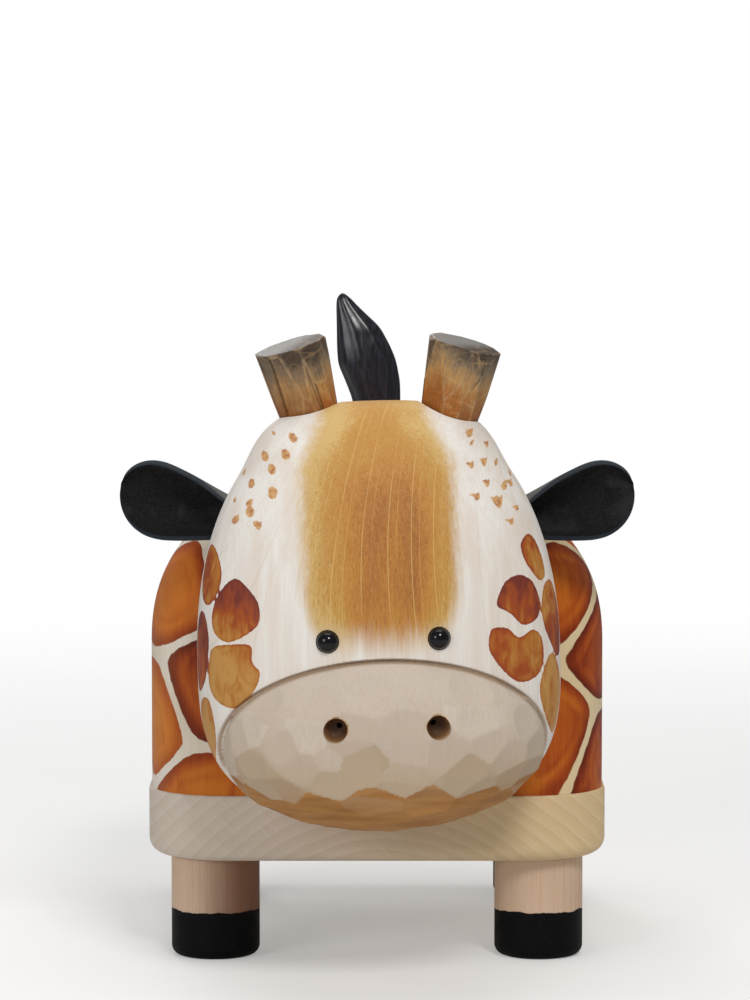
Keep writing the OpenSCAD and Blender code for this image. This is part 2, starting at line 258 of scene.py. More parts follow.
def muzzle_cuts():
    """Shallow knife scoops on the muzzle: middles and normals, in rows from the jaw to the bridge."""
    rng = np.random.default_rng(11)
    rays, tilts = [], []
    for n, (rise, step, tilt) in enumerate(CUT_ROWS):
        for side in np.arange(-98 + (n % 2) * step / 2, 99, step):
            e, a = np.radians(rise + rng.normal(0, 2.4)), np.radians(side + rng.normal(0, step * 0.2))
            rays.append([80 * math.sin(a) * math.cos(e), 56 * math.cos(a) * math.cos(e), 46 * math.sin(e)])
            tilts.append(tilt)
    rays = np.array(rays)
    rays /= np.linalg.norm(rays, axis=1)[:, None]
    core = np.array([0, MUZZLE_MID, MUZZLE_Z])
    at = core + rays * reach(muzzle_field, core, rays)[:, None]
    slope = np.stack([muzzle_field(*(at + d).T) - muzzle_field(*(at - d).T) for d in np.eye(3) / 2], axis=1)
    normal = slope / np.linalg.norm(slope, axis=1)[:, None]
    normal += rng.normal(0, 1, normal.shape) * np.array(tilts)[:, None]
    normal /= np.linalg.norm(normal, axis=1)[:, None]
    return at - normal * rng.uniform(0.75, 1.1, (len(at), 1)), normal


def carved_muzzle(rays):
    """How far the carved muzzle is along rays from the head's core, and which cut each ray meets."""
    whole = reach(muzzle_field, HEAD_CORE, rays)
    at, normal = muzzle_cuts()
    gap = np.sum((at - HEAD_CORE) * normal, axis=1)
    deep, which = [], []
    for some, size in zip(np.array_split(rays, 12), np.array_split(whole, 12)):
        toward = some @ normal.T
        skin = HEAD_CORE + some * size[:, None]
        apart = (skin**2).sum(axis=1)[:, None] - 2 * skin @ at.T + (at**2).sum(axis=1)
        cut = np.where(toward > 0.05, (gap + 0.005 * apart) / np.maximum(toward, 0.05), 1e9)
        deep.append(cut.min(axis=1))
        which.append(cut.argmin(axis=1))
    return np.minimum(whole + 0.4, np.concatenate(deep)), np.concatenate(which)


def groove_offset(x, z):
    """Signed distance, seen from the front, to the line where the muzzle meets the skull."""
    u, w = x / GROOVE_W, (z - MUZZLE_Z) / GROOVE_H
    size = np.sqrt(u * u + w * w) + 1e-9
    return (size - 1) * size / np.sqrt((u / GROOVE_W)**2 + (w / GROOVE_H)**2 + 1e-12)


def head_surface(rays):
    """Where rays from the head's core leave the carved head, in its own frame with depth h."""
    skull = reach(skull_field, HEAD_CORE, rays)
    muzzle = carved_muzzle(rays)[0]
    p = HEAD_CORE + rays * skull[:, None]
    off = groove_offset(p[:, 0], p[:, 2])
    upper = smoothstep(-14, -6, p[:, 2] - MUZZLE_Z)
    kept = 1 - upper * smoothstep(-0.6, 0.6, off)
    out = skull + kept * np.maximum(0, muzzle - skull)
    p = HEAD_CORE + rays * out[:, None]
    off = groove_offset(p[:, 0], p[:, 2])
    upper = smoothstep(-15, -7, p[:, 2] - MUZZLE_Z) * (p[:, 1] > 20)
    out -= upper * 2.6 * np.clip(1 - np.abs(off) / 1.5, 0, 1)
    back = np.where(rays[:, 1] < -1e-6, HEAD_CORE[1] / np.maximum(-rays[:, 1], 1e-6), 1e9)
    return HEAD_CORE + rays * np.minimum(out, back)[:, None]


def dome_grid(nx, nz, ny):
    """Rays and faces of a dome: a front grid, four sides that run back, and one flat back face."""
    front_x, back_x = 88.0, 50.0
    front_z, back_z = (-85.0, 118.0), (-50.0, 50.0)
    fx = np.linspace(-1, 1, nx + 1)
    fz = np.linspace(0, 1, nz + 1)
    rays = [[x * front_x, 60, front_z[0] + z * (front_z[1] - front_z[0])] for z in fz for x in fx]
    faces = [[j * (nx + 1) + i, (j + 1) * (nx + 1) + i, (j + 1) * (nx + 1) + i + 1, j * (nx + 1) + i + 1]
             for j in range(nz) for i in range(nx)]
    rim = ([(i, 0) for i in range(nx)] + [(nx, j) for j in range(nz)]
           + [(i, nz) for i in range(nx, 0, -1)] + [(0, j) for j in range(nz, 0, -1)])
    loop = [j * (nx + 1) + i for i, j in rim]
    for layer in range(1, ny + 1):
        t = layer / ny
        new = list(range(len(rays), len(rays) + len(rim)))
        for i, j in rim:
            wide = front_x + t * (back_x - front_x)
            low = front_z[0] + t * (back_z[0] - front_z[0])
            high = front_z[1] + t * (back_z[1] - front_z[1])
            rays.append([fx[i] * wide, 60 - 100 * t, low + fz[j] * (high - low)])
        for k in range(len(rim)):
            n = (k + 1) % len(rim)
            faces.append([loop[k], loop[n], new[n], new[k]])
        loop = new
    faces.append(loop[:])
    rays = np.array(rays)
    return rays / np.linalg.norm(rays, axis=1)[:, None], faces


def refine(piece, wanted):
    """Splits every face whose middle is wanted, to carry finer carving and paint."""
    bm = bmesh.new()
    bm.from_mesh(piece.data)
    middles = np.array([f.calc_center_median()[:] for f in bm.faces])
    chosen = wanted(middles)
    edges = {e for f, yes in zip(bm.faces, chosen) if yes for e in f.edges}
    bmesh.ops.subdivide_edges(bm, edges=list(edges), cuts=1, use_grid_fill=True)
    bm.to_mesh(piece.data)
    bm.free()


def at_nostril(side):
    """Where a nostril is drilled, and how its axes are turned."""
    place = from_head(np.array([[side * NOSTRIL_X, -(MUZZLE_MID + MUZZLE_FRONT * 0.962), NOSTRIL_Z]]))[0]
    return place, HEAD_TURNED @ turn("Z", side * 13) @ turn("X", 99)


def at_eye(side):
    place = from_head(np.array([[side * EYE_X, -(SKULL_MID + SKULL_FRONT * 0.966), EYE_Z]]))[0]
    return place, HEAD_TURNED @ turn("Z", side * 8) @ turn("X", 88)


def at_horn(side):
    place = np.array([side * HORN_OUT[side], FACE_Y - HORN_DEPTH, HORN_SEAT_Z])
    return place, turn("Y", side * HORN_LEAN[side]) @ turn("X", HORN_NOD)


def needs_finer(middles):
    """Whether rays through these points meet the freckles or the groove."""
    unit = middles / np.linalg.norm(middles, axis=1)[:, None]
    p = HEAD_CORE + unit * reach(skull_field, HEAD_CORE, unit)[:, None]
    x, h, z = np.abs(p[:, 0]), p[:, 1], p[:, 2]
    freckled = (x > FRECKLE_X[0]) & (x < FRECKLE_X[1]) & (z > FRECKLE_Z[0]) & (z < FRECKLE_Z[1])
    grooved = (np.abs(groove_offset(p[:, 0], z)) < 3.2) & (z > MUZZLE_Z - 16)
    return (freckled | grooved) & (h > 30)


def make_head():
    """A dome of rays, finer where it carries small marks, drawn out to the carved surface."""
    rays, faces = dome_grid(164, 188, 46)
    head = make_piece("head_block", rays * 100, faces)
    refine(head, needs_finer)
    rays = points_of(head)
    rays /= np.linalg.norm(rays, axis=1)[:, None]
    p = head_surface(rays)
    p[:, 1] *= -1
    head.data.vertices.foreach_set("co", (from_head(p) * MM).ravel())
    turn_outwards(head)
    carve(head, head_cutters(), 42)
    paint_head(head)
    return head


def head_cutters():
    """Nostrils with their pilot holes, seats and holes for the eyes and the horns, and the ears' slots."""
    cutters = []
    for side in (LEFT, RIGHT):
        place, face = at_nostril(side)
        dish = [(0, -7.6), (1.6, -7.5), (3.4, -7.0), (4.7, -6.0), (5.5, -4.4), (5.75, -2.5), (5.75, 12),
                (0, 12)]
        cutters.append(lathe("cut_nostril", dish, place, face, 48))
        pilot = place + face @ np.array([-side * 0.9, 0.9, 0])
        cutters.append(lathe("cut_pilot", [(0, -13), (1.5, -12), (1.5, 0), (0, 0)], pilot, face, 24))
        place, face = at_eye(side)
        seat = [(0, -15.2), (1.6, -15.2), (1.6, -3.2), (5.7, -3.2), (5.7, 12), (0, 12)]
        cutters.append(lathe("cut_eye", seat, place, face, 48))
        place, face = at_horn(side)
        seat = [(0, -20.5), (7.4, -20.5), (7.4, -0.2), (15.7, -0.2), (15.7, 40), (0, 40)]
        cutters.append(lathe("cut_horn", seat, place, face, 48))
        cutters.append(ear_mesh("cut_ear", side, 0.15, 40, 24))
    return cutters


# ---------------------------------------------------------------- head: painted marks

def skull_arc(x, h, z):
    """Distance along the skull's surface from the middle of the face, at a level."""
    angle = np.linspace(0, math.pi, 721)
    s, c = np.sin(angle), np.cos(angle)
    size = ((np.abs(s) / SKULL_W)**2.25
            + (np.abs(c) / np.where(c > 0, SKULL_FRONT, SKULL_BACK))**2.25)**(-1 / 2.25)
    run = np.concatenate([[0], np.cumsum(np.hypot(np.diff(size * s), np.diff(size * c)))])
    level = np.where(z > 0, (1 - np.clip(z / SKULL_UP, 0, 1)**2.25)**(1 / 2.25),
                     (1 - np.clip(-z / SKULL_DOWN, 0, 1)**3)**(1 / 3))
    return np.sign(x) * np.interp(np.arctan2(np.abs(x), h - SKULL_MID), angle, run) * level


# Each patch: outline as (distance round the skull, height), then its tone: how dark it is in its
# middle, and how much darker it gets across and upwards.
PATCHES = [
    ([(-97, 60), (-88, 57), (-83, 47), (-86, 37), (-93, 31), (-101, 34), (-105, 44), (-103, 54)],
     0.45, -0.2, -0.1),
    ([(-74, 45), (-66, 40), (-61, 33), (-61, 24), (-68, 18), (-79, 14), (-88, 18), (-90, 27), (-84, 38)],
     0.62, 0.2, 0.9),
    ([(-104, 27), (-97, 26), (-93, 16), (-94, 5), (-98, -7), (-107, -12), (-113, 0), (-111, 16)],
     0.75, 0, 0.2),
    ([(-89, 11), (-77, 13), (-66, 13), (-65, 5), (-61, -1), (-66, -11), (-75, -18), (-86, -16), (-93, -9),
      (-93, 3)], 0.1, 0.5, 0.5),
    ([(-103, -16), (-95, -15), (-91, -24), (-91, -36), (-97, -46), (-106, -48), (-110, -36), (-108, -24)],
     0.05, 0, 0.2),
    ([(79, 62), (85, 58), (90, 48), (90, 41), (85, 39), (79, 44), (74, 51), (73, 58)], 0.4, -0.3, 0.35),
    ([(70, 43), (78, 40), (83, 32), (83, 24), (79, 20), (71, 19), (64, 25), (57, 29), (59, 36), (63, 41)],
     0.8, 0.1, 0.35),
    ([(89, 37), (97, 38), (105, 28), (108, 15), (105, 3), (98, 1), (91, 9), (86, 18), (85, 28)],
     0.55, 0.3, -0.5),
    ([(54, 18), (62, 18), (69, 13), (78, 16), (84, 11), (85, 1), (81, -6), (73, -9), (66, -8), (59, -2),
      (53, 6), (52, 12)], 0.45, -0.3, 0.0),
    ([(91, 3), (98, -1), (105, -12), (104, -26), (98, -37), (92, -35), (86, -27), (82, -17), (83, -8)],
     0.05, 0.1, -0.1),
    ([(-127, 66), (-116, 62), (-111, 48), (-113, 30), (-121, 22), (-133, 30), (-138, 48)], 0.5, 0.2, 0.3),
    ([(-131, 14), (-121, 12), (-118, -4), (-117, -22), (-127, -34), (-137, -24), (-139, -4)], 0.6, 0.1, 0.5),
    ([(121, 62), (111, 58), (103, 46), (110, 38), (117, 26), (129, 24), (137, 40), (132, 56)], 0.5, 0.1, 0.4),
    ([(128, 14), (117, 14), (112, -2), (112, -20), (121, -32), (133, -26), (138, -6)], 0.55, 0.2, -0.4),
]

# Freckle outlines round their middles, then the freckles: x, z, outline and size
DAB = [(2.6, 0.2), (1.7, 2.3), (-0.6, 3.0), (-2.3, 1.6), (-2.5, -1.2), (-0.8, -3.0), (1.6, -2.2)]
DROP = [(2.1, 0.8), (1.9, 2.6), (-0.2, 2.0), (-2.2, 0.4), (-2.2, -2.0), (0.0, -2.6), (1.6, -1.2)]
HEART = [(3.0, 2.4), (1.4, 1.4), (0.0, 2.2), (-1.8, 1.6), (-3.0, 2.2), (-1.8, -0.6), (0.4, -3.0), (2.2, -1.6)]
ARROW = [(2.6, 1.9), (2.9, -1.6), (0.4, -2.6), (-0.6, -0.8), (-3.2, 0.6), (-1.2, 1.5), (0.6, 1.2)]
FRECKLES = [
    (-40, 112, DAB, 0.9), (-44, 104, DAB, 1.0), (-54, 103, DAB, 1.0), (-51, 97, DAB, 1.0),
    (-51, 86, DAB, 1.15), (-61, 90, DAB, 0.9), (-57, 109, DROP, 0.7), (-64, 95, DROP, 0.8),
    (-62, 81, DROP, 0.9), (-62, 77, DAB, 1.0), (-59, 71, HEART, 1.0), (-69, 73, DROP, 1.0),
    (-69, 82, DROP, 0.6), (-49, 114, DROP, 0.6),
    (45, 112, ARROW, 1.1), (47, 107, DROP, 0.6), (54, 106, ARROW, 0.8), (52, 98, HEART, 0.95),
    (45, 97, ARROW, 0.9), (59, 97, DROP, 0.8), (53, 88, HEART, 0.85), (65, 87, ARROW, 1.0),
    (62, 86, DROP, 1.0), (47, 82, ARROW, 1.0), (58, 79, HEART, 1.35), (67, 75, ARROW, 0.8),
    (64, 69, ARROW, 0.85), (66, 91, DROP, 0.7),
]
FRECKLE_SIZE = 0.88


def stain_sides(x, h, z):
    """How far inside the forehead's stain a point lies, from its sides and its end on the crown."""
    wide = 41 - 11 * smoothstep(95, 124, z)
    wide = wide * np.sqrt(np.clip(1 - np.clip((44 - z) / 42, 0, 1)**2.6, 0, 1))
    return np.minimum(wide - np.abs(x + 0.5), (h - 12) * 0.8)


def nostril_depth(points):
    """0 on the face to 1 at the bottom of a nostril, for points in the head's frame."""
    deep = np.zeros(len(points))
    for side in (LEFT, RIGHT):
        place, face = at_nostril(side)
        local = (from_head(points) - place) @ face
        inside = np.hypot(local[:, 0], local[:, 1]) < 5.9
        deep = np.maximum(deep, inside * np.clip(-local[:, 2] / 9, 0, 1))
    return deep


def paint_patches(head, arc, h, z):
    """How deep each point lies inside a painted patch, and how dark the patch is there."""
    flat = np.stack([arc, z], axis=1)
    patch, tone = np.full(len(z), -60.0), np.zeros(len(z))
    for outline, dark, across, upward in PATCHES:
        curve = closed_curve(outline)
        mean, half = curve.mean(axis=0), (curve.max(axis=0) - curve.min(axis=0)) / 2
        near = (np.abs(flat - mean) < 32).all(axis=1) & (h > 0.5)
        depth = np.full(len(z), -60.0)
        depth[near] = inside_distance(flat[near], curve)
        own = dark + across * (arc - mean[0]) / half[0] / 2 + upward * (z - mean[1]) / half[1] / 2
        tone = np.where(depth > patch, own, tone)
        patch = np.maximum(patch, depth)
    paint(head, "patch", patch)
    paint(head, "tone", np.clip(tone, 0, 1))


def paint_freckles(head, arc, x, h, z):
    """How deep each point lies inside a freckle; those at the sides are drawn wider."""
    freckle = np.full(len(z), -20.0)
    for fx, fz, outline, size in FRECKLES:
        centre = arc[np.argmin((x - fx)**2 + (z - fz)**2 + 1e6 * (h < 25))]
        near = (np.abs(arc - centre) < 9) & (np.abs(z - fz) < 8) & (h > 12)
        wider = 1.0 + 0.3 * smoothstep(50, 72, abs(fx))
        local = np.stack([(arc[near] - centre) / wider, z[near] - fz], axis=1)
        depth = inside_distance(local, closed_curve(np.array(outline) * size * FRECKLE_SIZE, 4))
        freckle[near] = np.maximum(freckle[near], depth)
    paint(head, "freckle", freckle)


def paint_muzzle(head, x, h, z):
    """Where the muzzle is, a tone for each knife cut, how much painted shade its low and downward-facing
    parts get, and the groove's line, which also gets painted shade.
    """
    off = groove_offset(x, z)
    rays = np.stack([x, h, z], axis=1) - HEAD_CORE
    rays /= np.linalg.norm(rays, axis=1)[:, None]
    carved, cut = carved_muzzle(rays)
    muzzle = (carved > reach(skull_field, HEAD_CORE, rays) + 0.3) & ((off < 0) | (z < MUZZLE_Z - 12))
    facet = np.random.default_rng(23).uniform(-1, 1, cut.max() + 1)[cut] * muzzle
    paint(head, "muzzle", muzzle)
    paint(head, "facet", facet * smoothstep(8, -38, z))
    # Painted shade: the muzzle's downward-facing and lowest parts are marked to be painted darker and
    # browner.
    normal = np.empty(len(z) * 3)
    head.data.vertices.foreach_get("normal", normal)
    down = -(normal.reshape(-1, 3) @ HEAD_TURNED)[:, 2]
    level = 0.8 * muzzle_cuts()[0][cut, 2] + 0.2 * z
    underside_shade = np.maximum(smoothstep(-24, -84, level), smoothstep(0.1, 1.0, down))
    paint(head, "under", np.maximum((h > 30) * (off < 0), smoothstep(-60, -74, z)) * underside_shade)
    # Painted shade along the groove above the muzzle.
    upper = smoothstep(-15, -7, z - MUZZLE_Z) * (h > 20)
    paint(head, "groove", smoothstep(1.5, 0.5, np.abs(off)) * upper)


def paint_head(head):
    """Layers on the head's points, which its material turns into colours."""
    p = to_head(points_of(head))
    x, h, z = p[:, 0], -p[:, 1], p[:, 2]
    arc = skull_arc(x, h, z)
    paint_patches(head, arc, h, z)
    paint_freckles(head, arc, x, h, z)
    paint(head, "stain", stain_sides(x, h, z))
    paint(head, "stain_end", z - 6)
    paint_muzzle(head, x, h, z)
    paint(head, "hollow", nostril_depth(p))


# ---------------------------------------------------------------- ears

EAR_OUT, EAR_SLOT, EAR_W, EAR_T = 60.0, 9.0, 51.0, 2.6
EAR_PLACE = np.array([70.0, FACE_Y - 12, 229.0])
EAR_TURNED = turn("Y", -16) @ turn("X", 12)
EAR_END = 0.992                  # where the leather ends, as a share of its length


def ear_half_width(u):
    widest = 0.57
    rising = 20 + (EAR_W / 2 - 20) * (1 - np.cos(np.pi * np.minimum(u, widest) / widest)) / 2
    past = np.clip(u - widest, 0, 1) / (EAR_END - widest)
    falling = EAR_W / 2 * np.sqrt(np.clip(1 - past**2.3, 0.0004, 1))
    return np.where(u < widest, rising, falling)


def ear_surface(u, v, depth):
    """The leather: u runs from the slot to the tip, v from -1 to 1 across it.

    It is rolled tightly at its root and opens towards the tip, with a ripple that grows on the way.
    """
    half = ear_half_width(u)
    roll = np.radians(130 - 90 * np.clip(u, 0, 1)**0.8)
    radius = half / roll
    a = roll * v + np.radians(34) * np.clip(1 - u / 0.6, 0, 1)**1.5
    ripple = (0.5 * np.sin(7.3 * u + 2.1 * v) * np.sin(3.1 * v + 1.3)
              + 0.28 * np.sin(15 * u - 3.7 * v)) * np.clip(u - 0.18, 0, 0.5) * 1.6
    r = radius - depth + ripple
    return np.stack([u * (EAR_OUT + EAR_SLOT) - EAR_SLOT, r * np.cos(a) - radius, r * np.sin(a)], axis=-1)


def ear_mesh(name, side, grow, rows, columns):
    """The leather as a closed sheet with softened cut edges, thicker by grow on both faces."""
    t = np.linspace(0, 1, rows + 1)
    across = np.linspace(1, -1, columns + 1)
    rings = []
    for u in EAR_END * (0.75 * t + 0.25 * np.sin(t * np.pi / 2)):
        soft = 1 - 0.5 / ear_half_width(u)
        vs = np.where(np.abs(across) == 1, across * soft, across)
        v = np.concatenate([vs, [-1, -1], vs[::-1], [1, 1]])
        depth = np.concatenate([np.full(len(vs), -grow), [0.6, EAR_T - 0.6],
                                np.full(len(vs), EAR_T + grow), [EAR_T - 0.6, 0.6]])
        rings.append(ear_surface(np.full(len(v), u), v, depth))
    points = np.concatenate(rings) @ EAR_TURNED.T + EAR_PLACE
    if side == RIGHT:
        points = points * [-1, 1, 1]
    ear = make_piece(name, points, capped_faces(len(rings), len(rings[0])), 50)
    turn_outwards(ear)
    return ear


def make_ear(side):
    rows, columns = 96, 60
    ear = ear_mesh("ear_leather_" + side_word(side), side, 0, rows, columns)
    row, place = np.divmod(np.arange(len(ear.data.vertices)), 2 * columns + 6)
    edge = (place == 0) | ((place >= columns) & (place <= columns + 3)) | (place >= 2 * columns + 3)
    paint(ear, "rim", edge | (row == rows))
    paint(ear, "inner", (place >= columns + 2) & (place < 2 * columns + 4))
    return ear


# ---------------------------------------------------------------- horns

HORN_L, HORN_TENON = 49.3, 20.0
HORN_R, HORN_GROW, HORN_RUN = 13.9, 3.0, 35.0     # radius at the foot, and how much it grows over a run
HORN_ROWS = ((8, 12, 0.02), (23, 9, 0.06), (33, 8, 0.07), (43, 9, 0.07))    # height, cuts, their scatter


def knife(bm, at, normal):
    """Cuts off what lies beyond a plane and closes the solid again."""
    made = bmesh.ops.bisect_plane(bm, geom=bm.verts[:] + bm.edges[:] + bm.faces[:], plane_co=at,
                                  plane_no=normal, clear_outer=True)
    rim = [e for e in made["geom_cut"] if isinstance(e, bmesh.types.BMEdge)]
    if rim:
        bmesh.ops.edgenet_fill(bm, edges=rim)


def cut_horn(bm, rng):
    """Long flats in rows round the horn, and short slanting ones round its top."""
    bmesh.ops.create_cube(bm, size=120)
    knife(bm, (0, 0, 0), (0, 0, -1))
    knife(bm, (0, 0, HORN_L), (0.03, -0.02, 1))
    for height, count, spread in HORN_ROWS:
        for k in range(count):
            a = 2 * math.pi * (k + rng.uniform(-0.2, 0.2) + (height % 2) * 0.5) / count
            tip, twist = rng.normal(-math.atan2(HORN_GROW, HORN_RUN), spread), a + rng.normal(0, spread)
            normal = (math.cos(twist) * math.cos(tip), math.sin(twist) * math.cos(tip), math.sin(tip))
            r = HORN_R + HORN_GROW * height / HORN_RUN - rng.uniform(0.0, 0.4)
            knife(bm, (r * math.cos(a), r * math.sin(a), height + rng.uniform(-2, 2)), normal)
    for k in range(9):
        a = 2 * math.pi * (k + rng.uniform(-0.3, 0.3)) / 9
        slope = math.radians(rng.uniform(35, 60))
        r = 17.7 - rng.uniform(0, 0.7)
        normal = (math.cos(a) * math.cos(slope), math.sin(a) * math.cos(slope), math.sin(slope))
        knife(bm, (r * math.cos(a), r * math.sin(a), 48.6), normal)
    bmesh.ops.remove_doubles(bm, verts=bm.verts, dist=0.25)
    bmesh.ops.bevel(bm, geom=bm.edges[:], offset=0.3, segments=2, affect="EDGES", profile=0.5)


def mark_flats(bm, rng, foot):
    """Gives each flat its own tone, and marks the ridges between them."""
    facet, ridge = bm.verts.layers.float.new("facet"), bm.verts.layers.float.new("ridge")
    flats = [f for f in bm.faces if f.calc_area() > 8 and f is not foot]
    bmesh.ops.inset_individual(bm, faces=flats, thickness=0.8)
    for v in bm.verts:
        v[ridge] = 1.0
    for flat in flats:
        tone = rng.uniform(-1, 1)
        for v in flat.verts:
            v[facet], v[ridge] = tone, 0.0


def add_tenon(bm, foot):
    bmesh.ops.inset_individual(bm, faces=[foot], thickness=8.0)
    made = bmesh.ops.extrude_face_region(bm, geom=[foot])
    bmesh.ops.translate(bm, verts=[v for v in made["geom"] if isinstance(v, bmesh.types.BMVert)],
                        vec=(0, 0, -HORN_TENON))
    if foot.is_valid:
        bmesh.ops.delete(bm, geom=[foot], context="FACES_ONLY")


def make_horn(side):
    """A flaring horn cut with a knife: the solid left inside many tilted planes, on a tenon."""
    rng = np.random.default_rng(5 if side == LEFT else 8)
    bm = bmesh.new()
    cut_horn(bm, rng)
    foot = min(bm.faces, key=lambda f: (f.calc_center_median().z, -f.calc_area()))
    mark_flats(bm, rng, foot)
    add_tenon(bm, foot)
    bmesh.ops.recalc_face_normals(bm, faces=bm.faces)
    horn = make_piece("horn_" + side_word(side) + "_carved", np.zeros((0, 3)), [])
    bm.to_mesh(horn.data)
    bm.free()
    place, face = at_horn(side)
    local = np.array([v.co[:] for v in horn.data.vertices])
    horn.data.vertices.foreach_set("co", ((local @ face.T + place) * MM).ravel())
    shade(horn, 8)
    for name, axis in (("along", 2), ("across_x", 0), ("across_y", 1)):
        paint(horn, name, local[:, axis])
    return horn


# ---------------------------------------------------------------- body, plate, legs

BACK_FALL, SIDE_H, ARCH_H = 20.0, 74.0, 88.0
BODY_CORNER, BACK_EDGE, WALL = 38.0, 26.0, 26.0
HALF_W, HALF_L = (BODY_HI[0] - BODY_LO[0]) / 2, (BODY_HI[1] - BODY_LO[1]) / 2
FLOOR_Z = BODY_LO[2]
ARCH_POWER = 2.3
LEGS = ("leg_front_left", "leg_front_right", "leg_rear_left", "leg_rear_right")
LEG_SHOULDER, LEG_TOP, LEG_TENON_R = 52.0, 78.0, 12.5
TAIL_Y = middle("tail")[1]
TAIL_PEG = 16.0
TAIL_SEAT_Z = corner("tail", 0)[2] + TAIL_PEG


def body_sections(inset, fine):
    """Rows of (y, half width, rise of the arch, scale towards the bottom) from the front to the rear."""
    corner_r, edge = BODY_CORNER - inset, BACK_EDGE - inset / 2
    caps = np.linspace(0.0, 1, fine + 1)[:-1]
    bends = np.radians(np.linspace(0, 90, 19))
    flat = HALF_W - inset - corner_r
    rise = ARCH_H - inset - edge
    end = HALF_L - inset
    straight = end - corner_r
    rows = [(-end, flat, rise, c) for c in np.maximum(caps, 0.004)]
    rows += [(-end + corner_r * (1 - math.cos(a)), flat + corner_r * math.sin(a),
              rise + edge * math.sin(a), 1) for a in bends]
    for y in np.linspace(-end + corner_r, straight, 62)[1:-1]:
        fall = BACK_FALL * (y + end - corner_r) / (2 * straight)
        rows.append((y, HALF_W - inset, ARCH_H - inset - fall, 1))
    rows += [(end - corner_r * (1 - math.cos(a)), flat + corner_r * math.sin(a),
              rise + edge * math.sin(a) - BACK_FALL, 1) for a in bends[::-1]]
    rows += [(end, flat, rise - BACK_FALL, c) for c in np.maximum(caps[::-1], 0.004)]
    return rows


def arch_points(inset, count, fine):
    """The body's surface as rows of points from its right foot over the back to its left foot."""
    t = np.linspace(0, 1, count)
    rows = []
    for y, half, rise, scale in body_sections(inset, fine):
        arch = 1.15 * rise + 0.9 * half
        side = SIDE_H / (SIDE_H * 2 + 2 * arch)
        a = np.pi * np.clip((t - side) / (1 - 2 * side), 0, 1)
        x = -np.sign(np.cos(a)) * np.abs(np.cos(a))**(2 / ARCH_POWER) * half
        z = SIDE_H * np.clip(np.minimum(t, 1 - t) / side, 0, 1) + rise * np.abs(np.sin(a))**(2 / ARCH_POWER)
        rows.append(np.stack([x * scale, np.full(count, y + BODY_MID_Y), FLOOR_Z + z * scale], axis=1))
    return rows


def outside_shell(p):
    """Whether points lie on the body's outer surface and not inside its hollow."""
    return ((np.abs(p[:, 0]) > HALF_W - WALL + 6) | (np.abs(p[:, 1] - BODY_MID_Y) > HALF_L - WALL + 6)
            | (p[:, 2] > FLOOR_Z + SIDE_H + ARCH_H - WALL - 12))


def shell_faces(rows, wide, slim):
    """An outer skin of rows of wide points, an inner one of slim points, and the strips that join them."""
    first = rows * wide
    faces = [f[::-1] for f in ring_faces(rows, wide, closed=False)]
    faces += ring_faces(rows, slim, closed=False, first=first)
    for r in range(rows - 1):
        for a, b in ((0, 0), (wide - 1, slim - 1)):
            faces.append([r * wide + a, (r + 1) * wide + a, first + (r + 1) * slim + b, first + r * slim + b])
    ends = [list(range(r * wide, (r + 1) * wide)) + [first + r * slim + k for k in range(slim - 1, -1, -1)]
            for r in (0, rows - 1)]
    return faces + [ends[0], ends[1][::-1]]


def make_body():
    outer = arch_points(0, 200, 30)
    inner = arch_points(WALL, 40, 30)
    faces = shell_faces(len(outer), len(outer[0]), len(inner[0]))
    body = make_piece("body_painted", np.concatenate(outer + inner), faces, 60)
    refine(body, lambda middles: (np.abs(patch_distance(middles / MM)[0]) < 2.6)
           & (np.abs(middles[:, 0] / MM) > 20) & outside_shell(middles / MM))
    shade(body, 60)
    turn_outwards(body)
    hole = [(0, -TAIL_PEG - 0.3), (6.2, -TAIL_PEG - 0.3), (6.2, 0), (8.7, 0), (8.7, 60), (0, 60)]
    carve(body, [lathe("cut_tail", hole, (1, TAIL_Y, TAIL_SEAT_Z), None, 48)], 60)
    paint_body(body)
    return body


# Middles of the painted patches. Those round the front corners come first, with how dark each one is.
FRONT_SITES = [
    (-102, -50, 188, 0.42), (-113, -47, 122, 0.12), (-85, -67, 139, 0.8), (-88, -66, 82, 0.45),
    (-60, -70, 206, 0.5), (92, -62, 188, 0.5), (113, -44, 159, 0.7), (88, -66, 118, 0.45),
    (116, -44, 99, 0.7), (58, -70, 222, 0.5),
]
SIDE_ROWS = ((100, 46, 0, 116), (146, 44, 20, 116), (190, 46, 4, 112))      # height, step, start, |x|
BACK_SITES = [
    (-88, -20, 226), (-84, 34, 228), (-90, 84, 214), (-80, 132, 208), (84, -26, 228), (90, 26, 222),
    (82, 78, 220), (86, 128, 206), (-38, -36, 246), (-34, 14, 246), (-40, 62, 240), (-32, 110, 236),
    (-42, 148, 226), (36, -46, 248), (42, 0, 246), (34, 50, 242), (42, 98, 238), (36, 142, 228),
    (-76, 172, 196), (-32, 174, 200), (18, 174, 206), (66, 174, 192), (-92, 166, 146), (-48, 175, 148),
    (0, 175, 156), (44, 175, 142), (92, 166, 152), (-70, 174, 104), (-22, 175, 102), (26, 175, 108),
    (74, 174, 100), (-20, -70, 120), (20, -70, 120), (0, -70, 200),
]
SIDE_SITES = [(side * out, start + n * step + side * 5, height + (7 if (n + row) % 2 else -6))
              for row, (height, step, start, out) in enumerate(SIDE_ROWS) for n in range(5)
              for side in (LEFT, RIGHT)]
SITES = np.array([site[:3] for site in FRONT_SITES] + SIDE_SITES + BACK_SITES, float)


def patch_distance(p):
    """How far points on the body lie inside its painted patches, and which patch each is nearest."""
    d = np.linalg.norm(p[:, None, :] - SITES[None, :, :], axis=2)
    order = np.argsort(d, axis=1)[:, :6]
    near = np.take_along_axis(d, order, axis=1)
    soft = 5.0
    others = -soft * np.log(np.exp(-(near[:, 1:] - near[:, :1]) / soft).sum(axis=1) + 1e-12)
    return others / 2 - 1.9, order[:, 0]


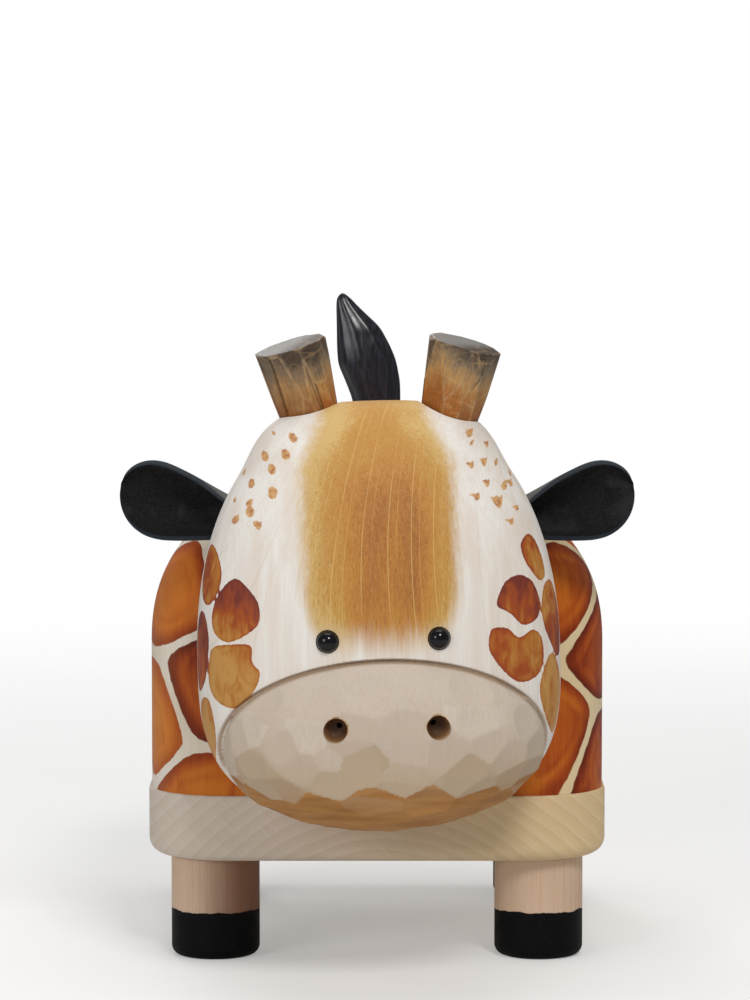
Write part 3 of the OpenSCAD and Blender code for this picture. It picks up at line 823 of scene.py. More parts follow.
def paint_body(body):
    patch, own = patch_distance(points_of(body))
    tones = (np.arange(len(SITES)) * 0.61803) % 1.0
    tones[:len(FRONT_SITES)] = [site[3] for site in FRONT_SITES]
    paint(body, "patch", patch)
    paint(body, "cell", tones[own])


def plan_outline(half_w, half_l, radius):
    """A rectangle with round corners, as points round the middle."""
    points = []
    for cx, cy, start in ((1, 1, 0), (-1, 1, 90), (-1, -1, 180), (1, -1, 270)):
        for a in np.radians(start + np.linspace(0, 90, 22)):
            points.append((cx * (half_w - radius) + radius * math.cos(a),
                           cy * (half_l - radius) + radius * math.sin(a)))
    return np.array(points)


def plate_profile(thick):
    """The plate's edge as (inset, height), with a wide round below and a small one above."""
    low_edge, top_edge = 8.0, 1.4
    profile = [(low_edge * (1 - math.sin(a)), low_edge * (1 - math.cos(a)))
               for a in np.radians(np.linspace(0, 90, 10))]
    profile += [(0, h) for h in np.linspace(low_edge, thick - top_edge, 6)[1:]]
    profile += [(top_edge * (1 - math.cos(a)), thick - top_edge * (1 - math.sin(a)))
                for a in np.radians(np.linspace(20, 90, 5))]
    return profile


def plate_cutters():
    """Holes for the legs' tenons, and stepped ones for the screws into the body."""
    hole_r, deep = LEG_TENON_R + 0.1, LEG_TOP - LEG_SHOULDER + 0.2
    tenon = [(0, -5), (hole_r, -5), (hole_r, deep), (0, deep)]
    cutters = [lathe("cut_tenon", tenon, (*middle(leg)[:2], PLATE_LO[2]), None, 40) for leg in LEGS]
    screw = [(0, -5), (5.4, -5), (5.4, 9.8), (2.7, 10), (2.7, 60), (0, 60)]
    rim_x, rim_y = HALF_W - WALL / 2, HALF_L - WALL / 2
    for x, y in ((-rim_x, -42), (-rim_x, 42), (rim_x, -42), (rim_x, 42), (0, -rim_y), (0, rim_y)):
        cutters.append(lathe("cut_screw", screw, (x, BODY_MID_Y + y, PLATE_LO[2]), None, 32))
    return cutters


def make_plate():
    half_w, half_l, thick = (PLATE_HI - PLATE_LO) / (2, 2, 1)
    rings = []
    for inset, height in plate_profile(thick):
        ring = plan_outline(half_w - inset, half_l - inset, 40 - inset)
        rings.append(np.column_stack([ring + [0, BODY_MID_Y], np.full(len(ring), PLATE_LO[2] + height)]))
    faces = capped_faces(len(rings), len(rings[0]))
    plate = make_piece("base_plate_planed", np.concatenate(rings), faces, 35)
    carve(plate, plate_cutters(), 35)
    return plate


def make_leg(name, node):
    """A turned leg with a round foot edge, a shoulder and a tenon."""
    mid, edge = middle(node), 5
    radius = (corner(node, 1)[0] - corner(node, 0)[0]) / 2
    profile = [(0, 0), (radius - edge, 0)]
    profile += [(radius - edge + edge * math.sin(a), edge - edge * math.cos(a))
                for a in np.radians(np.linspace(12, 90, 8))]
    profile += [(radius, h) for h in (14, 24, 34, 44)]
    profile += [(radius, LEG_SHOULDER - 0.7), (radius - 0.7, LEG_SHOULDER), (LEG_TENON_R, LEG_SHOULDER),
                (LEG_TENON_R, LEG_TOP - 1), (LEG_TENON_R - 0.9, LEG_TOP), (0, LEG_TOP)]
    return lathe(name, profile, (mid[0], mid[1], 0), None, 96, 40)


# ---------------------------------------------------------------- tail and eyes

TAIL_UP = [0, 0.2, 0.44, 0.53, 0.62, 0.66, 0.72, 0.82, 0.92, 0.965, 1.0]
TAIL_WIDTHS = [17, 22, 26.4, 29.8, 32.2, 31.6, 29.3, 23.7, 13.0, 8.4, 4.2]
TAIL_MIDDLES = [1, 0.8, 0.0, -1.8, -4.5, -5.2, -6.7, -9.6, -15.2, -17.4, -18.5]
TAIL_ROUND = 0.965               # where the tip starts to round off


def make_tail():
    """A leaf with shallow hollows cut along it, on a round stalk and a peg."""
    height, sides, rings = 103 * 0.985, 144, 110
    angles = np.arange(sides) * 2 * np.pi / sides
    levels = []
    for r, h in ((0.1, -TAIL_PEG), (5.2, -TAIL_PEG), (6.0, -15.2), (6.0, 0), (7.9, 0), (7.9, 3), (8.0, 5.5)):
        levels.append(np.column_stack([1 + r * np.cos(angles), r * np.sin(angles), np.full(sides, h)]))
    for t in np.sin(np.linspace(0, 1, rings) * np.pi / 2):
        around = np.clip(t + np.linspace(-0.025, 0.025, 7), 0, 1)
        width = np.interp(around, TAIL_UP, TAIL_WIDTHS).mean()
        centre = np.interp(around, TAIL_UP, TAIL_MIDDLES).mean()
        if t > TAIL_ROUND:
            width *= math.sqrt(max(0.0004, 1 - ((t - TAIL_ROUND) / 0.035)**2))
        thick = width * 17 / 30
        r = 1 - 0.05 * smoothstep(0.0, 0.12, t) * np.sin(4.5 * (angles + 0.5 * t))**2
        levels.append(np.column_stack([centre + width / 2 * r * np.cos(angles),
                                       thick / 2 * r * np.sin(angles), np.full(sides, 6 + t * height)]))
    points = np.concatenate(levels) + [0, TAIL_Y, TAIL_SEAT_Z]
    return make_piece("tail_leaf", points, capped_faces(len(levels), sides), 70)


def make_eye(side):
    place, face = at_eye(side)
    bead = [(5.5 * math.cos(a), -1 + 5.5 * math.sin(a)) for a in np.radians(np.linspace(0, 86, 16))]
    profile = [(0, -15), (1.5, -15), (1.5, -3), (5.5, -3)] + bead + [(0, 4.5)]
    return lathe("eye_bead_" + side_word(side), profile, place, face, 64, 40)


# ---------------------------------------------------------------- materials

def tint(red, green, blue):
    """A display colour, 0 to 255, as a shader colour."""
    out = [(c / 255 / 12.92) if c / 255 <= 0.04045 else ((c / 255 + 0.055) / 1.055)**2.4
           for c in (red, green, blue)]
    return (*out, 1.0)


class Finish:
    """A material with its shader, and short calls for the nodes that feed it."""

    def __init__(self, name, **sockets):
        self.material = bpy.data.materials.new(name)
        self.material.use_nodes = True
        self.tree = self.material.node_tree
        self.shader = next(n for n in self.tree.nodes if n.type == "BSDF_PRINCIPLED")
        for socket, value in sockets.items():
            self.set(socket.replace("_", " "), value)
        place = self.tree.nodes.new("ShaderNodeTexCoord").outputs["Object"]
        self.mm = self.stretch(place, (1000, 1000, 1000))

    def feed(self, socket, value):
        if isinstance(value, bpy.types.NodeSocket):
            self.tree.links.new(value, socket)
        else:
            socket.default_value = value

    def set(self, socket, value):
        self.feed(self.shader.inputs[socket], value)

    def node(self, kind, inputs, out=0, **settings):
        made = self.tree.nodes.new(kind)
        for key, value in settings.items():
            setattr(made, key, value)
        for key, value in inputs.items():
            self.feed(made.inputs[key], value)
        return made.outputs[out]

    def stretch(self, vector, factors):
        return self.node("ShaderNodeVectorMath", {0: vector, 1: factors}, operation="MULTIPLY")

    def shift(self, vector, offset):
        return self.node("ShaderNodeVectorMath", {0: vector, 1: offset}, operation="ADD")

    def noise(self, vector, scale, detail, roughness=0.55, distortion=0.0):
        return self.node("ShaderNodeTexNoise", {"Vector": vector, "Scale": scale, "Detail": detail,
                                                "Roughness": roughness, "Distortion": distortion})

    def drawn(self, size, *rest):
        """A noise whose grain has its own size along each axis; the rest goes to noise."""
        return self.noise(self.stretch(self.mm, tuple(size)), 1.0, *rest)

    def cells(self, vector, scale):
        return self.node("ShaderNodeTexVoronoi", {"Vector": vector, "Scale": scale}, "Distance")

    def value(self, name):
        return self.node("ShaderNodeAttribute", {}, "Fac", attribute_name=name)

    def math(self, operation, a, b=0.0, c=0.0):
        return self.node("ShaderNodeMath", {0: a, 1: b, 2: c}, operation=operation)

    def axis(self, name):
        """One coordinate of the piece's own millimetres."""
        return self.node("ShaderNodeSeparateXYZ", {0: self.mm}, name)

    def waver(self, noise, much, base):
        """The base value, moved up and down by a noise."""
        return self.math("MULTIPLY_ADD", self.math("SUBTRACT", noise, 0.5), much, base)

    def repeat(self, value, step):
        return self.math("FRACT", self.math("DIVIDE", value, step))

    def stripe(self, value, centre, width, strength):
        """A soft line where the value passes the centre."""
        off = self.math("ABSOLUTE", self.math("SUBTRACT", value, centre))
        return self.fit(off, 0.0, width, strength, 0.0)

    def fit(self, value, low, high, new_low=0.0, new_high=1.0, smooth=True):
        return self.node("ShaderNodeMapRange", {0: value, 1: low, 2: high, 3: new_low, 4: new_high},
                         interpolation_type="SMOOTHSTEP" if smooth else "LINEAR")

    def mix(self, factor, a, b):
        made = self.tree.nodes.new("ShaderNodeMix")
        made.data_type = "RGBA"
        for index, value in ((0, factor), (6, a), (7, b)):
            self.feed(made.inputs[index], value)
        return made.outputs[2]

    def ramp(self, value, stops):
        made = self.tree.nodes.new("ShaderNodeValToRGB")
        bar = made.color_ramp
        while len(bar.elements) < len(stops):
            bar.elements.new(0.5)
        for element, (at, colour) in zip(bar.elements, stops):
            element.position, element.color = at, colour
        self.feed(made.inputs[0], value)
        return made.outputs[0]

    def bump(self, height, distance, strength, under=None):
        inputs = {"Height": height, "Distance": distance, "Strength": strength}
        if under is not None:
            inputs["Normal"] = under
        return self.node("ShaderNodeBump", inputs)

    def rings(self, pith, along, wobble, slow=0.012, lean=0.0):
        """Distance in mm from the log's pith, which runs along one axis, with the wander of a real tree."""
        keep = [1.0, 1.0, 1.0]
        keep["XYZ".index(along)] = 0.0
        drift = [slow, slow, slow]
        drift["XYZ".index(along)] = slow * 0.3
        rel = self.shift(self.mm, tuple(-c for c in pith))
        if lean:
            rel = self.node("ShaderNodeMapping", {"Vector": rel, "Rotation": (0, lean, 0)})
        rel = self.stretch(rel, tuple(keep))
        far = self.node("ShaderNodeVectorMath", {0: rel}, "Value", operation="LENGTH")
        wander = self.drawn(drift, 2.0)
        return self.waver(wander, wobble * 2, far)

    def fibre(self, along, across, length, detail=4.0):
        """Fine streaks that run with the grain."""
        size = [across, across, across]
        size["XYZ".index(along)] = length
        return self.drawn(size, detail, 0.6)


def bare_head_wood(f, fibre, broad, line):
    """Pale wood on the skull, the muzzle's bare cuts greyer with painted shade darker lower down, and painted
    brown shade on the muzzle's downward faces.
    """
    bare = f.mix(f.fit(broad, 0.35, 0.65), tint(224, 213, 202), tint(232, 228, 222))
    bare = f.mix(f.fit(fibre, 0.35, 0.7, 0.0, 0.3), bare, tint(212, 198, 182))
    bare = f.mix(f.math("MULTIPLY", line, 0.3), bare, tint(204, 180, 156))
    facet = f.value("facet")
    # The muzzle's bare cuts, greyer than the skull, with painted shade that darkens them lower down.
    cut = f.mix(f.fit(f.axis("Z"), 100.0, 156.0), tint(192, 175, 156), tint(205, 194, 182))
    cut = f.mix(f.fit(facet, -1.0, 1.0, 0.0, 0.6, False), cut, tint(176, 155, 134))
    cut = f.mix(f.fit(fibre, 0.35, 0.7, 0.0, 0.3), cut, tint(182, 160, 136))
    bare = f.mix(f.value("muzzle"), bare, cut)
    # Painted shade on the muzzle's downward faces: a beige band, then brown below it.
    under = f.math("MULTIPLY_ADD", facet, 0.09, f.value("under"))
    below = f.mix(f.fit(f.drawn((0.03, 0.03, 0.2), 3.0), 0.35, 0.7),
                  tint(176, 126, 70), tint(156, 104, 50))
    bare = f.mix(f.fit(under, 0.17, 0.36), bare, f.mix(0.45, bare, tint(170, 144, 110)))
    return f.mix(f.fit(under, 0.52, 0.76), bare, below)


def add_stain(f, colour, fibre, fine, broad, line):
    """The forehead's brown stain: darker in its middle, paler to the crown and to its lower end."""
    inside, low = f.value("stain"), f.value("stain_end")
    streak = f.math("SUBTRACT", f.fibre("Z", 0.45, 0.02, 3.0), 0.5)
    sides = f.fit(f.math("MULTIPLY_ADD", streak, 7.0, inside), -1.5, 9.0)
    end = f.fit(f.math("MULTIPLY_ADD", streak, 16.0, low), -4.0, 20.0)
    cover = f.math("MULTIPLY", sides, end)
    depth = f.waver(fine, 0.9, f.fit(inside, 2.0, 26.0, 0.12, 0.62))
    depth = f.waver(fibre, 0.5, depth)
    depth = f.waver(broad, 0.5, depth)
    depth = f.math("SUBTRACT", depth, f.fit(f.axis("Z"), 236.0, 282.0, 0.0, 0.36))
    depth = f.math("SUBTRACT", depth, f.fit(low, 2.0, 34.0, 0.26, 0.0))
    across = f.math("MULTIPLY_ADD", streak, 14.0, f.axis("X"))
    depth = f.math("ADD", depth, f.fit(across, -24.0, -4.0, -0.1, 0.14))
    tan = f.ramp(depth, [(0.0, tint(206, 172, 108)), (0.3, tint(190, 144, 66)), (0.62, tint(184, 124, 44)),
                         (1.0, tint(150, 86, 26))])
    fleck = f.fit(f.drawn((2.4, 2.4, 0.2), 2.0, 0.5), 0.58, 0.70)
    tan = f.mix(f.math("MULTIPLY", fleck, 0.45), tan, tint(138, 74, 24))
    tan = f.mix(f.math("MULTIPLY", line, 0.55), tan, tint(222, 184, 116))
    return f.mix(f.math("MULTIPLY", cover, 0.97), colour, tan)


def add_marks(f, colour):
    """Washed patches with darker rims, and freckles."""
    edge = f.waver(f.noise(f.mm, 0.5, 3.0), 1.0, f.value("patch"))
    mottle = f.drawn((0.15, 0.15, 0.08), 3.0, 0.5, 0.6)
    wash = f.waver(mottle, 1.5, f.value("tone"))
    wash = f.waver(f.fibre("Z", 0.9, 0.06, 3.0), 0.35, wash)
    wash = f.math("ADD", wash, f.fit(edge, 0.0, 1.8, 0.25, 0.0))
    brown = f.ramp(wash, [(0.0, tint(192, 142, 76)), (0.3, tint(176, 112, 46)), (0.55, tint(160, 76, 28)),
                          (0.78, tint(142, 64, 36)), (1.0, tint(116, 50, 38))])
    colour = f.mix(f.fit(edge, -0.2, 0.25), colour, brown)
    spot = f.waver(f.noise(f.mm, 0.9, 2.0), 1.6, f.value("freckle"))
    dab = f.mix(f.fit(f.noise(f.mm, 0.45, 2.0), 0.3, 0.7), tint(168, 98, 38), tint(212, 164, 96))
    return f.mix(f.fit(spot, -0.2, 0.35, 0.0, 0.9), colour, dab)


def add_groove_and_nostril_shade(f, colour):
    """Painted shade in the groove, and the nostrils' bare wood with painted shade that deepens to near black
    at their bottoms.
    """
    # Painted shade: the groove's line is painted brown.
    colour = f.mix(f.math("MULTIPLY", f.value("groove"), 0.7), colour, tint(140, 108, 74))
    # Painted shade down the nostrils: bare wood at the rim, darker with depth, near black at the bottom.
    depth = f.value("hollow")
    nostril_wood_and_shade = f.ramp(f.waver(f.noise(f.mm, 0.8, 3.0), 0.2, depth),
                     [(0.0, tint(190, 158, 120)), (0.3, tint(134, 98, 62)), (0.7, tint(86, 56, 34)),
                      (1.0, tint(34, 22, 14))])
    return f.mix(f.fit(depth, 0.02, 0.12), colour, nostril_wood_and_shade)


def head_finish():
    """Pale wood with fine grain lines under a stain, painted patches and freckles."""
    f = Finish("carved_head", Roughness=0.55, Specular_IOR_Level=0.25)
    fibre = f.fibre("Z", 0.9, 0.03)
    fine = f.fibre("Z", 3.2, 0.16, 2.0)
    broad = f.fibre("Z", 0.09, 0.006, 2.0)
    phase = f.repeat(f.rings((-53, FACE_Y - 33, 205), "Z", 2.0, 0.013, 0.14), 8.3)
    line = f.math("MAXIMUM", f.stripe(phase, 0.5, 0.036, 1.0), f.stripe(phase, 0.86, 0.022, 0.7))
    faded = f.fit(f.drawn((0.05, 0.05, 0.008), 1.0), 0.36, 0.56)
    line = f.math("MULTIPLY", line, faded)
    colour = bare_head_wood(f, fibre, broad, line)
    colour = add_stain(f, colour, fibre, fine, broad, line)
    f.set("Base Color", add_groove_and_nostril_shade(f, add_marks(f, colour)))
    f.set("Roughness", f.fit(fibre, 0.3, 0.7, 0.5, 0.64))
    relief = f.bump(fine, 0.00012, 0.5)
    f.set("Normal", f.bump(f.noise(f.mm, 0.09, 2.0), 0.0005, 0.2, relief))
    return f.material


def body_finish():
    """Bare wood between sprayed brown patches, each darker along its rim and in one wide arc; the gaps carry
    a painted warm reflection towards +X and the patches a painted pale sheen towards -X.
    """
    f = Finish("painted_body", Roughness=0.5, Specular_IOR_Level=0.14)
    grain = f.fibre("Z", 0.8, 0.05)
    ragged = f.noise(f.mm, 0.16, 3.0)
    edge = f.waver(ragged, 1.6, f.value("patch"))
    side = f.fit(f.axis("X"), -60.0, 80.0)
    bare = f.mix(f.fit(f.noise(f.mm, 0.02, 2.0), 0.3, 0.7), tint(232, 224, 212), tint(222, 208, 188))
    # Painted reflection: the bare gaps turn yellower towards +X, a warm reflection painted into the colour.
    bare = f.mix(f.math("MULTIPLY", side, 0.7), bare, tint(222, 196, 140))
    bare = f.mix(f.fit(grain, 0.4, 0.7, 0.0, 0.25), bare, tint(204, 184, 152))
    sweep = f.drawn((0.030, 0.030, 0.016), 2.0, 0.5, 1.4)
    rim = f.fit(f.waver(sweep, 12.0, edge), -1.0, 8.0, 0.5, 0.0)
    arc = f.stripe(f.math("MULTIPLY_ADD", sweep, 16.0, edge), 17.0, 3.4, 0.12)
    tone = f.math("MULTIPLY_ADD", f.value("cell"), 0.62, f.fit(sweep, 0.40, 0.66, -0.06, 0.22))
    tone = f.math("ADD", f.math("ADD", tone, arc), rim)
    tone = f.waver(grain, 0.30, tone)
    brown = f.ramp(tone, [(0.0, tint(210, 128, 40)), (0.3, tint(192, 104, 30)), (0.55, tint(168, 76, 22)),
                          (0.8, tint(130, 46, 14)), (1.0, tint(98, 32, 14))])
    # Painted highlight: the patches turn paler and pinker towards -X, a sheen painted into the colour.
    pale_sheen_side = f.fit(f.axis("X"), -128.0, -84.0, 0.22, 0.0)
    brown = f.mix(pale_sheen_side, brown, tint(206, 148, 104))
    f.set("Base Color", f.mix(f.fit(edge, -0.25, 0.3), bare, brown))
    f.set("Roughness", f.fit(grain, 0.3, 0.7, 0.4, 0.5))
    relief = f.bump(grain, 0.0002, 0.3)
    f.set("Normal", f.bump(f.noise(f.mm, 0.035, 2.0), 0.001, 0.2, relief))
    return f.material


def plate_finish():
    """Sawn end grain with wide growth rings, lighter and yellower to the left side as painted warm light."""
    f = Finish("plate_wood", Roughness=0.55, Specular_IOR_Level=0.2)
    mid_z = (PLATE_LO[2] + PLATE_HI[2]) / 2
    rings = f.rings((4, 0, mid_z - 92), "Y", 5.0, 0.012)
    phase = f.repeat(rings, 6.2)
    band = f.fit(phase, 0.0, 0.85, 0.0, 1.0)
    late = f.stripe(phase, 0.92, 0.09, 1.0)
    grain = f.fibre("Y", 1.4, 0.05)
    leaned = f.node("ShaderNodeMapping", {"Vector": f.mm, "Rotation": (0, 0.75, 0)})
    saw = f.noise(f.stretch(leaned, (1.8, 0.1, 0.06)), 1.0, 2.0)
    across = f.axis("X")
    # Painted light: the wood is lighter and yellower towards +X, warm light painted into the colour.
    warm_light_side = f.fit(across, -100.0, 110.0)
    light = f.mix(warm_light_side, tint(214, 203, 194), tint(230, 204, 158))
    dark = f.mix(warm_light_side, tint(200, 186, 172), tint(214, 181, 126))
    colour = f.mix(f.math("MULTIPLY", band, 0.5), light, dark)
    colour = f.mix(f.math("MULTIPLY", late, 0.12), colour, tint(194, 164, 122))
    colour = f.mix(f.fit(saw, 0.4, 0.68, 0.0, 0.22), colour, tint(186, 164, 138))
    colour = f.mix(f.fit(grain, 0.4, 0.7, 0.0, 0.2), colour, tint(188, 164, 132))
    colour = f.mix(f.fit(f.noise(f.mm, 0.018, 2.0), 0.35, 0.7, 0.0, 0.3), colour, tint(196, 174, 144))
    f.set("Base Color", colour)
    f.set("Roughness", f.fit(saw, 0.3, 0.7, 0.48, 0.62))
    f.set("Normal", f.bump(saw, 0.00015, 0.5, f.bump(grain, 0.0001, 0.3)))
    return f.material


def leg_finish(name, x, y, seed, inner_shade):
    """Turned wood above a foot dipped in black, with painted shade that darkens its +X side; the last
    argument is how dark that painted shade gets.
    """
    f = Finish("leg_wood_" + name, Roughness=0.6, Specular_IOR_Level=0.1)
    grain = f.fibre("Z", 1.0, 0.04)
    rings = f.rings((x + 46 * math.cos(seed), y + 46 * math.sin(seed), 0), "Z", 2.0)
    phase = f.repeat(rings, 3.4)
    line = f.stripe(phase, 0.5, 0.12, 1.0)
    broad = f.drawn((0.05, 0.05, 0.02), 2.0)
    wood = f.mix(broad, tint(214, 190, 168), tint(202, 172, 144))
    wood = f.mix(f.math("MULTIPLY", line, 0.22), wood, tint(182, 142, 108))
    wood = f.mix(f.fit(grain, 0.4, 0.7, 0.0, 0.3), wood, tint(192, 156, 124))
    # Painted shade: the wood turns brown towards the leg's +X side, as if that side lay in shadow.
    if inner_shade:
        over = f.math("SUBTRACT", f.axis("X"), x)
        over = f.waver(grain, 5.0, over)
        wood = f.mix(f.fit(over, -17.0, 15.0, 0.0, inner_shade), wood, tint(110, 62, 34))
    height = f.axis("Z")
    wave = f.drawn((0.09, 0.09, 0.0), 3.0)
    rise = f.waver(wave, 3.4, height)
    painted = f.fit(rise, 24.0, 24.5, 1.0, 0.0)
    brush = f.drawn((0.25, 0.25, 1.4), 3.0)
    black = f.mix(f.fit(brush, 0.35, 0.7), tint(4, 4, 5), tint(14, 14, 14))
    f.set("Base Color", f.mix(painted, wood, black))
    f.set("Roughness", f.fit(f.math("ADD", brush, f.math("MULTIPLY", painted, 0.1)), 0.3, 0.8, 0.48, 0.66))
    step = f.bump(painted, 0.0002, 1.0)
    f.set("Normal", f.bump(brush, 0.0002, 0.35, f.bump(grain, 0.0001, 0.3, step)))
    return f.material


def horn_finish():
    """Tanned at the foot and charred at the top, with pale worn ridges between the flats."""
    f = Finish("horn_wood", Roughness=0.55, Specular_IOR_Level=0.3)
    along = f.value("along")
    place = f.node("ShaderNodeCombineXYZ", {0: f.value("across_x"), 1: f.value("across_y"), 2: along})
    grain = f.noise(f.stretch(place, (0.9, 0.9, 0.06)), 1.0, 4.0, 0.6)
    figure = f.noise(f.stretch(place, (0.05, 0.05, 0.07)), 1.0, 1.0, 0.4, 0.6)
    rings = f.math("FRACT", f.math("MULTIPLY", figure, 9.0))
    line = f.stripe(rings, 0.5, 0.09, 1.0)
    mottled = f.waver(f.noise(place, 0.10, 3.0), 26.0, along)
    mottled = f.math("MULTIPLY_ADD", f.value("across_x"), 0.22, mottled)
    mottled = f.math("MULTIPLY_ADD", f.value("facet"), 4.0, mottled)
    colour = f.ramp(f.fit(mottled, 4.0, 56.0, smooth=False),
                    [(0.0, tint(160, 88, 28)), (0.3, tint(168, 102, 42)), (0.52, tint(184, 142, 88)),
                     (0.68, tint(132, 114, 90)), (0.82, tint(66, 60, 53)), (1.0, tint(34, 33, 34))])
    colour = f.mix(f.fit(grain, 0.4, 0.7, 0.0, 0.4), colour, tint(110, 76, 48))
    colour = f.mix(f.math("MULTIPLY", line, 0.22), colour, tint(214, 172, 112))
    colour = f.mix(f.fit(f.value("facet"), -1.0, 1.0, 0.0, 0.3), colour, tint(92, 66, 46))
    worn = f.math("MULTIPLY", f.value("ridge"), f.fit(f.noise(place, 0.22, 2.0), 0.35, 0.65, 0.02, 0.34))
    colour = f.mix(worn, colour, tint(196, 164, 122))
    colour = f.mix(f.fit(along, 48.9, 49.4, 0.0, 0.7), colour, tint(146, 144, 140))
    f.set("Base Color", colour)
    f.set("Roughness", f.fit(grain, 0.3, 0.7, 0.48, 0.62))
    f.set("Normal", f.bump(grain, 0.00015, 0.5))
    return f.material


def ear_finish():
    f = Finish("ear_leather", Roughness=0.75, Specular_IOR_Level=0.1, Sheen_Weight=0.03, Sheen_Roughness=0.4)
    nap = f.noise(f.mm, 1.5, 4.0, 0.7)
    pores = f.cells(f.mm, 1.1)
    worn = f.noise(f.mm, 0.07, 3.0)
    colour = f.mix(f.fit(nap, 0.35, 0.7), tint(9, 9, 9), tint(38, 38, 38))
    colour = f.mix(f.fit(worn, 0.48, 0.75, 0.0, 0.5), colour, tint(58, 59, 60))
    # Painted sheen: the outer face is painted grey for the light its smooth side catches.
    outer = f.mix(f.fit(nap, 0.3, 0.7), tint(70, 72, 70), tint(124, 126, 122))
    colour = f.mix(f.math("MULTIPLY", f.math("SUBTRACT", 1.0, f.value("inner")), 0.8), colour, outer)
    colour = f.mix(f.math("MULTIPLY", f.value("rim"), 0.8), colour, tint(40, 48, 58))
    f.set("Base Color", colour)
    f.set("Roughness", f.fit(worn, 0.3, 0.7, 0.66, 0.85))
    f.set("Normal", f.bump(pores, 0.0003, 0.4, f.bump(nap, 0.0004, 0.6)))
    return f.material


def tail_finish():
    f = Finish("tail_lacquer", Roughness=0.3, Specular_IOR_Level=0.3, Coat_Weight=0.22, Coat_Roughness=0.2)
    streak = f.fibre("Z", 0.6, 0.03, 3.0)
    colour = f.mix(f.fit(streak, 0.35, 0.7), tint(14, 14, 19), tint(38, 38, 50))
    colour = f.mix(f.fit(f.noise(f.mm, 0.05, 2.0), 0.5, 0.8, 0.0, 0.4), colour, tint(40, 32, 30))
    f.set("Base Color", colour)
    f.set("Roughness", f.fit(streak, 0.3, 0.7, 0.2, 0.34))
    f.set("Normal", f.bump(streak, 0.0002, 0.12))
    return f.material


def eye_finish():
    f = Finish("eye_bead", Roughness=0.06, IOR=1.38)
    cloud = f.noise(f.mm, 0.35, 2.0)
    f.set("Base Color", f.mix(f.fit(cloud, 0.3, 0.7), tint(5, 5, 8), tint(10, 11, 18)))
    f.set("Roughness", f.fit(cloud, 0.3, 0.7, 0.05, 0.1))
    return f.material


def dowel_finish():
    f = Finish("dowel_beech", Roughness=0.55)
    grain = f.fibre("Z", 1.6, 0.1)
    fleck = f.fit(f.drawn((1.5, 0.4, 0.4), 2.0), 0.55, 0.7)
    colour = f.mix(grain, tint(222, 190, 150), tint(196, 158, 116))
    f.set("Base Color", f.mix(f.math("MULTIPLY", fleck, 0.5), colour, tint(164, 120, 82)))
    f.set("Normal", f.bump(grain, 0.0001, 0.4))
    return f.material


def steel_finish():
    f = Finish("screw_steel", Roughness=0.3, Metallic=1.0)
    brushed = f.drawn((4.0, 4.0, 0.5), 3.0)
    f.set("Base Color", f.mix(brushed, tint(176, 178, 182), tint(140, 142, 148)))
    f.set("Roughness", f.fit(brushed, 0.3, 0.7, 0.24, 0.42))
    return f.material


# ---------------------------------------------------------------- the object

def finish_piece(piece, material, slot, *nodes):
    piece.data.materials.clear()
    piece.data.materials.append(material)
    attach(piece, "root")
    if nodes:
        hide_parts(*nodes)


def build():
    finish_piece(make_head(), head_finish(), "head_wood", "head")
    finish_piece(make_body(), body_finish(), "body_paint", "body_shell")
    finish_piece(make_plate(), plate_finish(), "plate_wood", "base_plate")
    for n, node in enumerate(LEGS):
        # Only the front right leg gets painted shade on its +X side.
        inner_shade = 0.8 if node == "leg_front_right" else 0.0
        wood = leg_finish(node, *middle(node)[:2], 1.0 + 1.7 * n, inner_shade)
        finish_piece(make_leg(node + "_turned", node), wood, "leg_wood", node)
    horn, ear, eye = horn_finish(), ear_finish(), eye_finish()
    for side in (LEFT, RIGHT):
        word = side_word(side)
        finish_piece(make_horn(side), horn, "horn_wood", "horn_" + word)
        leather = make_ear(side)
        finish_piece(leather, ear, "ear_leather", "ear_" + word)
        finish_piece(make_eye(side), eye, "eye_bead", "eye_" + word)
    finish_piece(make_tail(), tail_finish(), "tail_lacquer", "tail")
    for node, material in (("head_dowels", dowel_finish()), ("plate_dowels", dowel_finish()),
                           ("head_screws", steel_finish()), ("plate_screws", steel_finish())):
        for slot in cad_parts[node].material_slots:
            slot.material = material


# ---------------------------------------------------------------- floor, light and camera

def add_light(name, place, aim, size, power, colour=(1, 1, 1)):
    light = bpy.data.lights.new(name, "AREA")
    light.shape = "RECTANGLE"
    light.size, light.size_y = size
    light.energy = power
    light.color = colour
    lamp = bpy.data.objects.new(name, light)
    lamp.visible_camera = False
    lamp.location = place
    lamp.rotation_euler = (Vector(aim) - Vector(place)).to_track_quat("-Z", "Y").to_euler()
    bpy.context.scene.collection.objects.link(lamp)


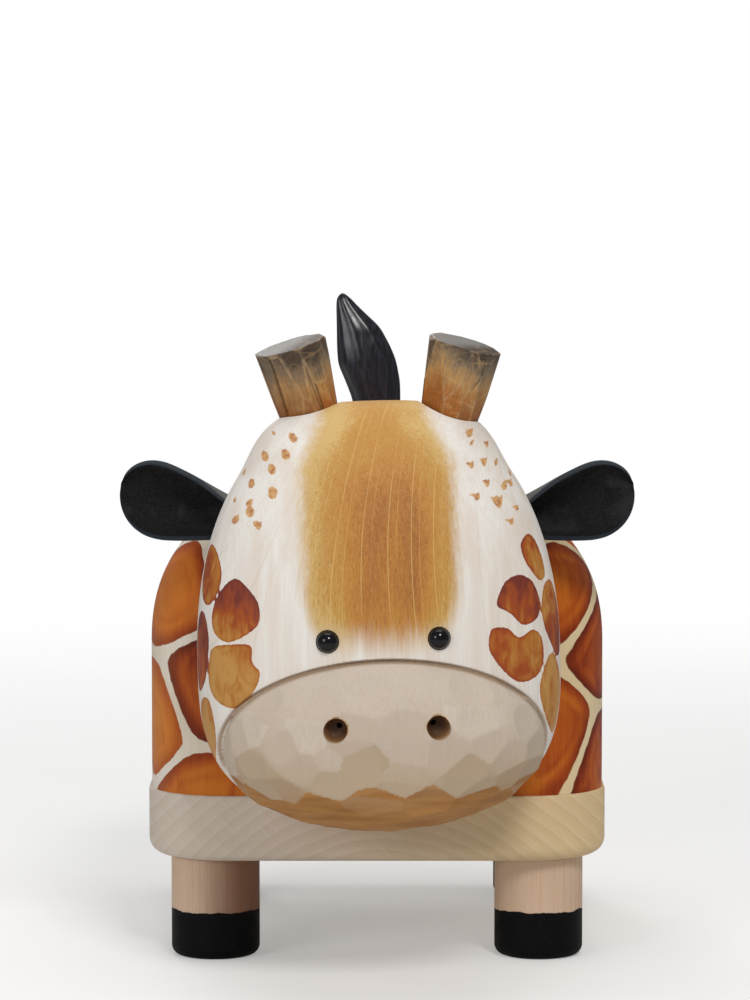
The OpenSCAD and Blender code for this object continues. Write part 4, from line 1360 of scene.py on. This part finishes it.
def add_stage():
    """A round pale floor that fades out into the white of the studio."""
    angles = np.arange(96) * 2 * math.pi / 96
    points = [(r * math.cos(a), r * math.sin(a), 0) for r in (300, 800, 1300, 1800) for a in angles]
    faces = [(0, 1 + k, 1 + (k + 1) % 96) for k in range(96)] + ring_faces(4, 96, first=1)
    floor = make_piece("studio_floor", [(0, 0, 0)] + points, faces, 60)
    f = Finish("floor_paper", Roughness=0.9, Specular_IOR_Level=0.1)
    f.set("Base Color", f.mix(f.noise(f.mm, 0.01, 2.0), tint(247, 247, 246), tint(243, 243, 242)))
    away = f.node("ShaderNodeVectorMath", {0: f.mm}, "Value", operation="LENGTH")
    f.set("Alpha", f.fit(away, 420.0, 1650.0, 0.7, 0.0))
    floor.data.materials.append(f.material)


def add_lights():
    """A world that is white to the camera and dim to the object, and four soft lamps."""
    world = bpy.data.worlds.new("studio")
    world.use_nodes = True
    tree = world.node_tree
    seen = tree.nodes.new("ShaderNodeLightPath").outputs["Is Camera Ray"]
    strength = tree.nodes.new("ShaderNodeMapRange")
    strength.inputs["To Min"].default_value = 0.28
    strength.inputs["To Max"].default_value = 1.0
    tree.links.new(seen, strength.inputs["Value"])
    tree.links.new(strength.outputs[0], tree.nodes["Background"].inputs["Strength"])
    tree.nodes["Background"].inputs["Color"].default_value = (1, 1, 1, 1)
    bpy.context.scene.world = world
    add_light("key", (0.5, -1.8, 1.75), (0, 0, 0.17), (0.6, 0.6), 26, (1.0, 0.985, 0.96))
    add_light("fill", (-1.3, -1.7, 0.8), (0, 0, 0.17), (0.8, 0.8), 10.5, (0.98, 0.99, 1.0))
    add_light("top", (0, 0.15, 1.9), (0, 0.1, 0.1), (1.4, 1.2), 12)
    add_light("behind", (-0.7, 2.2, 1.5), (0, 0, 0.15), (0.9, 0.9), 12)


def add_camera():
    """A long lens a little above the muzzle, almost straight in front."""
    data = bpy.data.cameras.new("camera")
    data.sensor_width, data.lens = 36.0, 158.4
    camera = bpy.data.objects.new("camera", data)
    bpy.context.scene.collection.objects.link(camera)
    turned, raised, far = math.radians(-0.1), math.radians(4.75), 2.2
    target = Vector((-0.0011, PLATE_LO[1] * MM, 0.2355))
    back = Vector((math.sin(turned), -math.cos(turned), math.tan(raised))) * math.cos(raised)
    camera.location = target + back * far
    camera.rotation_euler = (-back).to_track_quat("-Z", "Y").to_euler()
    bpy.context.scene.camera = camera


build()
add_stage()
add_lights()
add_camera()
bpy.context.scene.view_settings.view_transform = "Standard"

bpy.context.view_layer.update()
